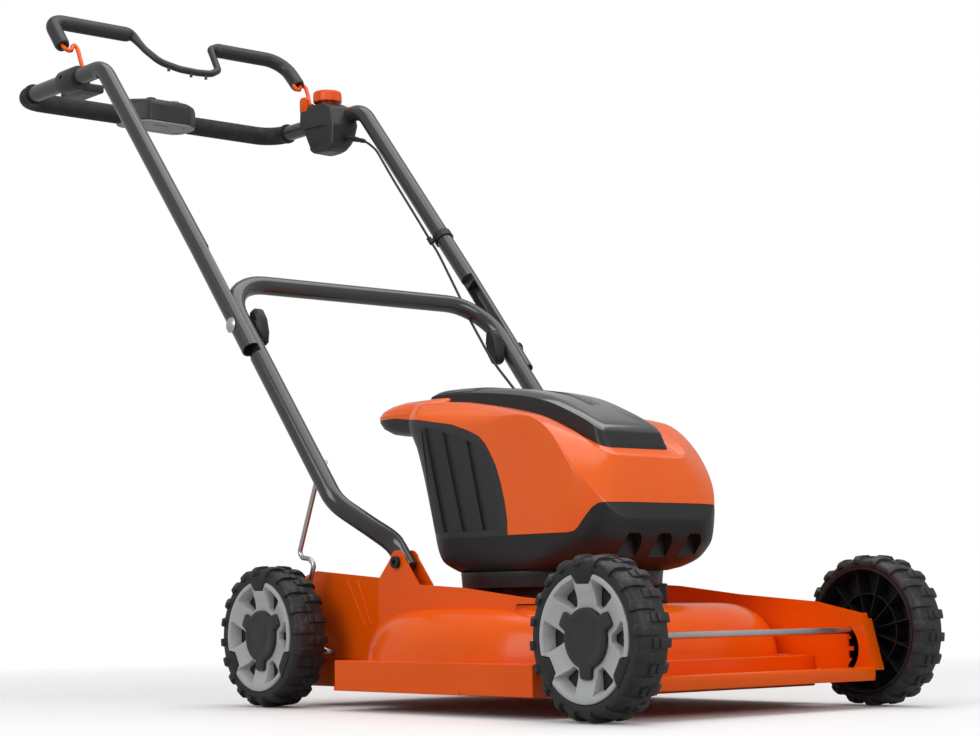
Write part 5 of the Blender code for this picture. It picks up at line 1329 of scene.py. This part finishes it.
def roundOutline(outline, amount, steps=4):
    # cuts each corner of an outline with a small arc
    path = []
    count = len(outline)
    for k in range(count):
        before, here, after = (Vector(outline[(k + n) % count]) for n in (-1, 0, 1))
        reach = min(amount, (before - here).length * 0.45, (after - here).length * 0.45)
        a, b = here + (before - here).normalized() * reach, here + (after - here).normalized() * reach
        for n in range(steps + 1):
            t = n / steps
            path.append(tuple(a * (1 - t) ** 2 + here * 2 * t * (1 - t) + b * t ** 2))
    return path


def makeControlBox():
    rings = []
    for x, share, inset in controls["boxSteps"]:
        outline = [tuple(Vector(a).lerp(Vector(b), share)) for a,
                   b in zip(controls["innerOutline"], controls["outerOutline"])]
        rings.append([(x, y, z) for y, z in roundOutline(grownOutline(outline, inset), controls["corner"])])
    box = skin("controlBox", rings)
    # the long upper inner edge is cut back
    edge = skin("edge", [[(x, y, z) for x, z in controls["backEdge"]] for y in (0.78, 0.87)])
    combine(box, edge, "DIFFERENCE")
    depth = controls["boxInner"] + controls["pocketDepth"]
    pocket = roundOutline(controls["pocket"], 0.005)
    trench = skin("trench", [[(x, y, z) for y, z in grownOutline(pocket, inset)] for x,
                             inset in ((0.195, -0.0012), (depth - 0.0008, 0.0), (depth, 0.0008))])
    combine(box, trench, "DIFFERENCE")
    combine(box, boxPiece("slot", *controls["rodSlot"]), "DIFFERENCE")
    # a shallow seat that the button sinks into, and the bore for its stem
    x, y = controls["button"]
    for radius, floor in ((controls["buttonRadius"] + 0.0006, controls["seatFloor"]),
                          (controls["stemRadius"] + 0.0006, 0.93)):
        combine(box, sweptTube("seat", [(x, y, floor), (x, y, 0.96)], radius, 64), "DIFFERENCE")
    placePiece(box, 30, "upper_handle", "dark_plastic", "control_box", even=True)
    start, end = (Vector(p) for p in controls["boot"])
    stops = controls["bootStops"]
    boot = sweptTube("cableBoot", [start.lerp(end, t) for t, _ in stops], controls["bootRadius"], 28,
                     [w for _, w in stops])
    placePiece(boot, 34, "upper_handle", "black_plastic")


def makeStartButton():
    # a broad cap with shallow scallops, a soft upper rim and a sunk face
    flutes = controls["buttonFlutes"]
    x, y = controls["button"]
    low, high = controls["buttonLow"], controls["buttonHigh"]
    levels = ((low, 0.95, 0.4), (low + 0.0012, 1.0, 1.0), (high - 0.005, 0.985, 1.0), (high - 0.0022, 0.955, 0.7),
              (high - 0.0006, 0.9, 0.3), (high, 0.84, 0.0),
              (high, 0.76, 0.0), (high - 0.001, 0.72, 0.0), (high - 0.0012, 0.3, 0.0))
    rings = []
    for z, scale, depth in levels:
        ring = []
        for k in range(flutes * 12):
            angle = math.tau * k / (flutes * 12)
            groove = (1 - abs(math.sin(flutes * angle / 2)) ** 0.8) * controls["fluteDepth"] * depth
            reach = controls["buttonRadius"] * scale - controls["fluteDepth"] * depth + groove
            ring.append((x + reach * math.cos(angle), y + reach * math.sin(angle), z))
        rings.append(ring)
    button = skin("startButtonCap", rings)
    combine(button, sweptTube("stem", [(x, y, 0.937), (x, y, low + 0.002)], controls["stemRadius"], 48), "UNION")
    placePiece(button, 26, "start_button", "orange_button", "start_button")


def makeRodGuide():
    guide = sidePrism("rodGuideLug", roundOutline(controls["guide"], 0.002), 0.1996, 0.2055)
    softEdges(guide, 0.0008, 2, 50)
    placePiece(guide, 36, "upper_handle", "orange_button", "rod_guide")


def makeBearing():
    # collar on the near tube with the arm that carries the bail's rod
    x = -handle["upperX"]
    collar = sweptTube("rightBearing", [(x, 0.7985, handle["barZ"] - 0.001), (x, 0.8435, handle["barZ"] - 0.001)],
                       0.0183, 40)
    softEdges(collar, 0.0016, 3, 40)
    arm = boxPiece("arm", (x + 0.004, 0.801, handle["barZ"] - 0.0188), (-0.1945, 0.866, handle["barZ"] - 0.006))
    softEdges(arm, 0.003, 3, 40)
    cheek = sidePrism("cheek", controls["cheek"], -0.2235, -0.206)
    softEdges(cheek, 0.0025, 3, 30)
    combine(collar, arm, "UNION")
    combine(collar, cheek, "UNION")
    clearSelection()
    bpy.ops.mesh.primitive_cylinder_add(vertices=32, radius=0.0036, depth=0.012, location=(-0.2555, 0.826, 0.922),
                                        rotation=(0, math.pi / 2, 0))
    hole = bpy.context.object
    settle(hole)
    combine(collar, hole, "DIFFERENCE")
    placePiece(collar, 32, "upper_handle", "dark_plastic", "bail_bearing")


def panelPlan(inset):
    # the left end is a little longer, and its front corner is cut less
    low, high = -controls["panelHalf"] + inset, controls["panelLeftEnd"] - inset
    y0, y1 = controls["panelY"][0] + inset, controls["panelY"][1] - inset
    outline = [(low + 0.03, y0 + 0.003), (high - 0.022, y0 + 0.003), (high, y0 + 0.019), (high, y1 - 0.012),
               (high - 0.012, y1),
               (low + 0.012, y1), (low, y1 - 0.012), (low, y0 + 0.03)]
    return roundOutline(outline, 0.006, 5)


def makePanel():
    low, high = controls["panelZ"]
    levels = ((low + 0.004, 0.0012), (low + 0.0052, 0.0), (high - 0.012, 0.0006), (high - 0.005, 0.0022),
              (high - 0.0018, 0.005), (high - 0.0003, 0.009), (high, 0.012))
    shell = skin("panelShell", [[(x, y, z) for x, y in panelPlan(inset)] for z, inset in levels])
    room = skin("room", [[(x, y, z) for x, y in panelPlan(0.003)] for z in (0.89, handle["barZ"])])
    combine(shell, room, "DIFFERENCE")
    for x in (-controls["keyX"], controls["keyX"]):
        well = sweptTube("well", [(x, controls["keyY"], high - 0.005), (x, controls["keyY"], high + 0.01)],
                         controls["keyRadius"] + 0.0005, 32)
        combine(shell, well, "DIFFERENCE")
    placePiece(shell, 30, "upper_handle", "dark_plastic", "panel_shell")
    base = skin("panelUnderside", [[(x, y, z) for x, y in panelPlan(inset)] for z, inset in
                                   ((low + 0.0006, 0.008), (low, 0.007), (low, 0.003), (low + 0.0008, 0.0016),
                                    (low + 0.0038, 0.0014), (low + 0.0038, 0.0034), (0.9196, 0.0034))])
    inserts = []
    for x, y in controls["screws"]:
        combine(base, sweptTube("hole", [(x, y, low - 0.002), (x, y, low + 0.008)], 0.003, 24), "DIFFERENCE")
        inserts.append(sweptTube("screw", [(x, y, low + 0.0035), (x, y, low + 0.0078)], 0.0029, 24))
    combine(base, boxPiece("slot", (-0.014, 0.957, low - 0.002), (0.014, 0.9612, low + 0.006)), "DIFFERENCE")
    inserts.append(boxPiece("slotFloor", (-0.0139, 0.9571, low + 0.0025), (0.0139, 0.9611, low + 0.0058)))
    placePiece(base, 34, "upper_handle", "grey_plastic", "panel_base")
    dark = inserts[0]
    for extra in inserts[1:]:
        combine(dark, extra, "UNION")
    dark.name = "panelScrews"
    placePiece(dark, 40, "upper_handle", "black_plastic")


def makeKeys():
    # soft domed keys; the second is the light one
    for name, node, x, slot in (("startKey", "start_key", -controls["keyX"], "black_plastic"),
                                ("economyKey", "economy_key", controls["keyX"], "grey_plastic")):
        r, top = controls["keyRadius"] - 0.0001, controls["panelZ"][1]
        profile = [(-0.0035, 0.0), (-0.0035, r), (0.0002, r), (0.0009, r * 0.94), (0.0014, r * 0.78),
                   (0.0012, r * 0.4), (0.001, 0.0)]
        key = spunProfile(name, [(-px, pr) for px, pr in profile], 40, closed=False)
        key.rotation_euler.y = math.pi / 2
        key.location = (x, controls["keyY"], top)
        settle(key)
        facesOut(key)
        placePiece(key, 40, node, slot, node)


makeControlBox()
makeStartButton()
makeRodGuide()
makeBearing()
makePanel()
makeKeys()
print("mower: controls made")


# bail: a moulded bar with a thin web round the panel and a wire rod at each end

bail = {
    "pivot": (0.847, 0.94),
    "angle": math.radians(50),
    "barRadius": 0.0118,
    "webRadius": 0.0056,
    "rodRadius": 0.0033,
    "path": ((-0.218, 0.064), (-0.218, 0.1275), (-0.072, 0.1275), (-0.061, 0.093), (-0.044, 0.066), (-0.012, 0.055),
             (0.02, 0.0535), (0.048, 0.0565),
             (0.067, 0.07), (0.0715, 0.1), (0.076, 0.1275), (0.218, 0.1275), (0.2225, 0.064)),
    "pegs": ((-0.034, 0.0505), (0.005, 0.044), (0.033, 0.0445)),
    "pegRadius": 0.0024,
    "socketRadius": 0.006,
    "rodCorners": (0.006, 0.006, 0.005, 0.02, 0.004, 0.006, 0.03, 0.05, 0.004),
    "corners": (0.022, 0.01, 0.03, 0.03, 0.04, 0.04, 0.03, 0.012, 0.06, 0.006, 0.036),
    "leftRod": ((0.221, 0.085), (0.2135, 0.064), (0.2125, 0.0505), (0.2205, 0.0545), (0.227, 0.066),
                (0.2335, 0.0705), (0.2368, 0.062), (0.2319, 0.0417),
                (0.2254, 0.0213), (0.2222, 0.0), (0.209, 0.0)),
    "rightRod": ((-0.218, 0.085), (-0.2185, 0.064), (-0.2125, 0.051), (-0.206, 0.056), (-0.199, 0.069),
                 (-0.193, 0.0728), (-0.1932, 0.06), (-0.197, 0.0385),
                 (-0.1994, 0.0256), (-0.2025, 0.0), (-0.22, 0.0)),
}


def onBail(x, distance):
    y, z = bail["pivot"]
    return Vector((x, y + distance * math.cos(bail["angle"]), z + distance * math.sin(bail["angle"])))


def barWidth(point):
    # full along the two hand bars, thin round the dip
    x = point.x
    if x < -0.062 or x > 0.072:
        start, full = (0.062, 0.084) if x < 0 else (0.072, 0.09)
        share = min(1.0, max(0.0, (abs(x) - start) / (full - start)))
    else:
        share = 0.0
    thin = bail["webRadius"] / bail["barRadius"]
    return thin + (1 - thin) * share * share * (3 - 2 * share)


def makeBail():
    path = withStops(roundedPath([onBail(*p) for p in bail["path"]], bail["corners"], 8), 0.005)
    widths = [barWidth(p) for p in path]
    widths[0] = widths[-1] = 0.9
    bar = sweptTube("bailBar", path, bail["barRadius"], 28, widths)
    for end, inside in ((0, 3), (-1, -4)):
        combine(bar, sweptTube("socket", [path[end] + (path[end] - path[inside]).normalized() * 0.004, path[inside]],
                               bail["socketRadius"], 24), "DIFFERENCE")
    for x, d in bail["pegs"]:
        foot = onBail(x, d)
        peg = sweptTube("peg", [foot + Vector((0, 0, 0.003)), foot - Vector((0, 0, 0.0035))], bail["pegRadius"], 16)
        combine(bar, peg, "UNION")
    placePiece(bar, 40, "bail", "dark_plastic", "bail_bar")
    for name, side in (("leftBailRod", "left"), ("rightBailRod", "right")):
        route = [onBail(*p) for p in bail[f"{side}Rod"]]
        rod = sweptTube(name, roundedPath(route, bail["rodCorners"], 7), bail["rodRadius"], 18)
        placePiece(rod, 50, "bail", "orange_button", f"{side}_bail_rod")


makeBail()
print("mower: bail made")


# cable: three runs, so each bends with the handle only where it crosses a joint

cable = {
    "radius": 0.0019,
    "topEnd": 7,
    "middleEnd": 14,
    "route": ((0.224, 0.7075, 0.865), (0.2233, 0.693, 0.8572), (0.222, 0.673, 0.843), (0.2205, 0.655, 0.823),
              (0.2195, 0.625, 0.787), (0.219, 0.59, 0.746), (0.2185, 0.56, 0.711), (0.218, 0.533, 0.679),
              (0.2135, 0.509, 0.656), (0.209, 0.48, 0.6215), (0.203, 0.4436, 0.5775), (0.1975, 0.4241, 0.5555),
              (0.193, 0.4043, 0.534), (0.189, 0.383, 0.5115), (0.1875, 0.3635, 0.4881), (0.188, 0.3422, 0.4643),
              (0.19, 0.3195, 0.4407), (0.19, 0.3014, 0.4215), (0.18, 0.275, 0.385), (0.152, 0.248, 0.345),
              (0.115, 0.225, 0.318), (0.085, 0.203, 0.305), (0.072, 0.193, 0.3022), (0.07, 0.1823, 0.302)),
}


def smoothRoute(first, last):
    # a curve through the route's points that meets its neighbours without a kink
    route = [Vector(p) for p in cable["route"]]
    route = [route[0] * 2 - route[1]] + route + [route[-1] * 2 - route[-2]]
    path = []
    for k in range(first, last):
        a, b, c, d = route[k:k + 4]
        for n in range(8):
            t = n / 8
            bend, twist = 2 * a - 5 * b + 4 * c - d, 3 * b - a - 3 * c + d
            path.append(0.5 * (2 * b + (c - a) * t + bend * t ** 2 + twist * t ** 3))
    path.append(route[last + 1])
    return path


def makeCable():
    last = len(cable["route"]) - 1
    runs = (("cableTop", 0, cable["topEnd"]), ("cableMiddle", cable["topEnd"], cable["middleEnd"]),
            ("cableLower", cable["middleEnd"], last))
    for name, first, end in runs:
        run = sweptTube(name, smoothRoute(first, end), cable["radius"], 14)
        smoothFaces(run, 60)
        toFrame(run)
        start, end = (tuple(Vector(cable["route"][k]) + Vector((0, midY, 0))) for k in (first, end))
        crossed = {"cableMiddle": ("upper_handle", "lower_handle"), "cableLower": ("lower_handle", "body")}
        if name in crossed:
            run.data.materials.append(finishes["blackMoulding"])
            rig.blend(run, *crossed[name], start, end)
            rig.replaces(run, "cable")
            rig.slot(run, "black_plastic")
        else:
            dress(run, "upper_handle", "black_plastic", "cable")


makeCable()
print("mower: cable made")


# deck: one pressed dome over a box pan, with a rolled hem and a front channel

deck = {
    "centre": -0.012,
    "steps": 128,
    "squareness": 2.7,
    "profile": ((0.233, 0.03), (0.233, 0.06), (0.2318, 0.07), (0.2298, 0.079), (0.2268, 0.088), (0.2225, 0.097),
                (0.2175, 0.1042), (0.211, 0.1105),
                (0.204, 0.1152), (0.197, 0.1188), (0.189, 0.1218), (0.179, 0.124), (0.166, 0.125), (0.12, 0.1253),
                (0.06, 0.1254)),
    "pan": ((-0.235, -0.208), (-0.1797, -0.208), (-0.1797, -0.252), (0.1797, -0.252), (0.1797, -0.208),
            (0.235, -0.208),
            (0.235, 0.163), (0.1582, 0.163), (0.1582, 0.334), (-0.1582, 0.334), (-0.1582, 0.163), (-0.235, 0.163)),
    "panTop": 0.061,
    "panBottom": 0.024,
    "sheet": 0.002,
    "shaftHole": 0.022,
    "hem": ((0.163, -0.081), (0.0285, 0.0345)),
    "channel": ((-0.251, 0.043), (-0.251, 0.041), (-0.334, 0.041), (-0.3405, 0.0392), (-0.342, 0.036),
                (-0.342, 0.032), (-0.3444, 0.032), (-0.345, 0.0335),
                (-0.3458, 0.04), (-0.3455, 0.045), (-0.344, 0.0472), (-0.341, 0.048), (-0.338, 0.047),
                (-0.3355, 0.0445), (-0.3325, 0.043)),
    "channelHalf": 0.1797,
}


def flatPrism(name, outline, low, high):
    return skin(name, [[(x, y, z) for x, y in outline] for z in (low, high)])


def domeForm(name, inset):
    # squarer than a circle, with a soft shoulder
    power, steps = deck["squareness"], deck["steps"]
    rings = []
    for radius, z in deck["profile"]:
        ring = []
        for k in range(steps):
            c, n = math.cos(math.tau * k / steps), math.sin(math.tau * k / steps)
            reach = (radius - inset) / (abs(c) ** power + abs(n) ** power) ** (1 / power)
            ring.append((reach * c, deck["centre"] + reach * n, z - inset))
        rings.append(ring)
    dome = skin(name, rings)
    for side in (-1, 1):
        low, high = sorted((side * 0.1575, side * 0.3))
        combine(dome, boxPiece("rearCut", (low, 0.163 - inset, -0.1), (high, 0.3, 0.3)), "DIFFERENCE")
    return dome


def makeDeck():
    form = flatPrism("deckPan", deck["pan"], deck["panBottom"], deck["panTop"])
    softEdges(form, 0.0016, 3, 40)
    combine(form, domeForm("dome", 0.0), "UNION")
    sheet = deck["sheet"]
    combine(form, flatPrism("panRoom", grownOutline(deck["pan"], sheet), 0.0, deck["panTop"] - sheet), "DIFFERENCE")
    combine(form, domeForm("domeRoom", sheet), "DIFFERENCE")
    (rear, front), (low, high) = deck["hem"]
    for side in (-1, 1):
        inner, outer = sorted((side * 0.234, side * 0.2362))
        hem = boxPiece("hem", (inner, front, low - 0.0045), (outer, rear, high - 0.0045))
        softEdges(hem, 0.0007, 2, 40)
        combine(form, hem, "UNION")
    combine(form, sweptTube("hole", [(0, deck["centre"], 0.05), (0, deck["centre"], 0.2)], deck["shaftHole"], 40),
            "DIFFERENCE")
    half = deck["channelHalf"]
    channel = sidePrism("channel", deck["channel"], -half, half)
    combine(form, channel, "UNION")
    form.name = "deckPressing"
    placePiece(form, 32, "body", "orange_paint", "deck", even=True)


# the plain pressings, castings and bolts get their bends and broken edges:
# piece, body, width and segments of the edge, and the angle it starts from
softened = {
    "right_side_plate": ("rightSidePlate", "body", 0.0006, 2, 30),
    "left_side_plate": ("leftSidePlate", "body", 0.0006, 2, 30),
    "right_rear_plate": ("rightRearPlate", "body", 0.0006, 2, 30),
    "left_rear_plate": ("leftRearPlate", "body", 0.0006, 2, 30),
    "rear_wall": ("rearWallPressing", "body", 0.0006, 2, 30),
    "motor": ("motorCasting", "body", 0.002, 3, 40),
    "motor_mount": ("motorMountRing", "body", 0.001, 2, 40),
    "right_ear_bolt": ("rightEarBolt", "body", 0.0005, 2, 45),
    "left_ear_bolt": ("leftEarBolt", "body", 0.0005, 2, 45),
    "right_fold_bolt": ("rightFoldBolt", "upper_handle", 0.0004, 2, 45),
    "left_fold_bolt": ("leftFoldBolt", "upper_handle", 0.0004, 2, 45),
    "right_wing_knob": ("rightWingKnob", "right_wing_knob", 0.0008, 2, 35),
    "left_wing_knob": ("leftWingKnob", "left_wing_knob", 0.0008, 2, 35),
    "blade": ("bladeBar", "blade_drive", 0.0004, 2, 40),
    "blade_spindle": ("bladeSpindle", "blade_drive", 0.0005, 2, 40),
    "blade_bolt": ("bladeBolt", "blade_drive", 0.0005, 2, 45),
    "battery": ("batteryPack", "body", 0.003, 3, 40),
    "motor_controller": ("motorController", "body", 0.0015, 2, 40),
    "cable_clip": ("cableClipBand", "upper_handle", 0.0003, 1, 45),
}
batteryGrip = {
    "wellLow": (-0.034, -0.301, 0.3315),
    "wellHigh": (0.034, -0.241, 0.36),
    "barLow": (-0.04, -0.2765, 0.333),
    "barHigh": (0.04, -0.2655, 0.34),
    "ribHalf": (0.036, 0.002),
    "ribHeights": (0.336, 0.341),
    "ribs": (-0.336, -0.324, -0.312, -0.23, -0.218, -0.206),
}


def addBatteryGrip(piece):
    # a finger well with a bar across it, between two rows of ribs
    well = boxPiece("gripWell", batteryGrip["wellLow"], batteryGrip["wellHigh"])
    softEdges(well, 0.004, 3, 60)
    combine(piece, well, "DIFFERENCE")
    bar = boxPiece("gripBar", batteryGrip["barLow"], batteryGrip["barHigh"])
    softEdges(bar, 0.0025, 3, 60)
    combine(piece, bar, "UNION")
    halfX, halfY = batteryGrip["ribHalf"]
    low, high = batteryGrip["ribHeights"]
    for y in batteryGrip["ribs"]:
        rib = boxPiece("batteryRib", (-halfX, y - halfY, low), (halfX, y + halfY, high))
        softEdges(rib, 0.0008, 2, 60)
        combine(piece, rib, "UNION")


def softenPressings():
    for nodeName, (name, body, width, segments, angle) in softened.items():
        piece = takeCopy(nodeName, name)
        softEdges(piece, width, segments, angle, clamp=True)
        if nodeName == "battery":
            addBatteryGrip(piece)
        smoothFaces(piece, 36)
        evenNormals(piece)
        dress(piece, body, nodeSlot[nodeName], nodeName)


# motor skirt, axles and the height lever

gear = {
    "skirt": ((0.15, 0.06), (0.15, 0.1222), (0.1468, 0.1226), (0.1466, 0.1238), (0.1472, 0.1246), (0.149, 0.1248),
              (0.16, 0.1257), (0.1652, 0.1264), (0.1658, 0.1262), (0.1658, 0.06)),
    "skirtY": 0.002,
    "axleRadius": 0.004,
    "frontAxle": (-0.308, 0.09),
    "rearAxle": (0.308, 0.09),
    "axleEnd": 0.2396,
    "crankX": 0.1705,
    "crankLow": (0.26797, 0.069),
    "collarRadius": 0.0085,
    "collarThickness": 0.003,
    "leverRadius": 0.0032,
    "leverX": -0.19,
    "lever": ((0.275, 0.163), (0.268, 0.18), (0.277, 0.188), (0.294, 0.19), (0.3, 0.197), (0.263, 0.284),
              (0.256, 0.302), (0.24, 0.312)),
}


def collared(rod):
    # a thrust collar inside each wheel and a push nut outside its hub
    y, z = gear["rearAxle"] if rod.name.startswith("rear") else gear["frontAxle"]
    edge = 0.0006
    for side in (-1, 1):
        for face in (0.2051, gear["axleEnd"] - 0.0003):
            inner, outer = face - gear["collarThickness"], face
            r = gear["collarRadius"]
            collar = spunProfile("collar", [(inner, 0.002), (inner, r - edge), (inner + edge, r), (outer - edge, r),
                                            (outer, r - edge), (outer, 0.002)], 40)
            collar.scale.x = side
            collar.location = (0, y, z)
            settle(collar)
            facesOut(collar)
            combine(rod, collar, "UNION")
    return rod


def makeGear():
    skirt = spunProfile("motorSkirt", list(gear["skirt"]), 96)
    skirt.name = "motorSkirtRing"
    skirt.rotation_euler.y = -math.pi / 2
    skirt.location = (0, gear["skirtY"], 0)
    settle(skirt)
    facesOut(skirt)
    placePiece(skirt, 36, "body", "black_plastic", "motor_skirt")
    end = gear["axleEnd"]
    y, z = gear["frontAxle"]
    front = collared(sweptTube("frontAxleRod", [(-end, y, z), (end, y, z)], gear["axleRadius"], 28))
    y, z = gear["rearAxle"]
    lowY, lowZ = gear["crankLow"]
    half = [(gear["crankX"], lowY, lowZ), (gear["crankX"] + 0.006, y, z), (end, y, z)]
    path = roundedPath([(-a, b, c) for a, b, c in reversed(half)] + half, (0.007,) * 4, 8)
    rear = collared(sweptTube("rearAxleRod", path, gear["axleRadius"], 28))
    foot, knee = Vector((gear["leverX"], y, z)), Vector((gear["leverX"], *gear["lever"][0]))
    foot += (knee - foot).normalized() * 0.0036
    lever = sweptTube("heightLeverRod", roundedPath([foot] + [(gear["leverX"], *p) for p in gear["lever"]],
                                                    (0.006,) * 7, 8), gear["leverRadius"], 24)
    for piece, body, node in ((front, "front_axle", "front_axle"), (rear, "rear_axle", "rear_axle"),
                              (lever, "rear_axle", "height_lever")):
        placePiece(piece, 45, body, "zinc_steel", node)


makeDeck()
softenPressings()
makeGear()
print("mower: deck, plates and running gear made")


# the part's size before and after the new pieces

def writeSizes():
    sizes = {"cad": [list(corner) for corner in cadBox], "visual": [list(corner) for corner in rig.bounds()]}
    with open("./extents.json", "w") as file:
        json.dump(sizes, file)


writeSizes()
print("mower: done")
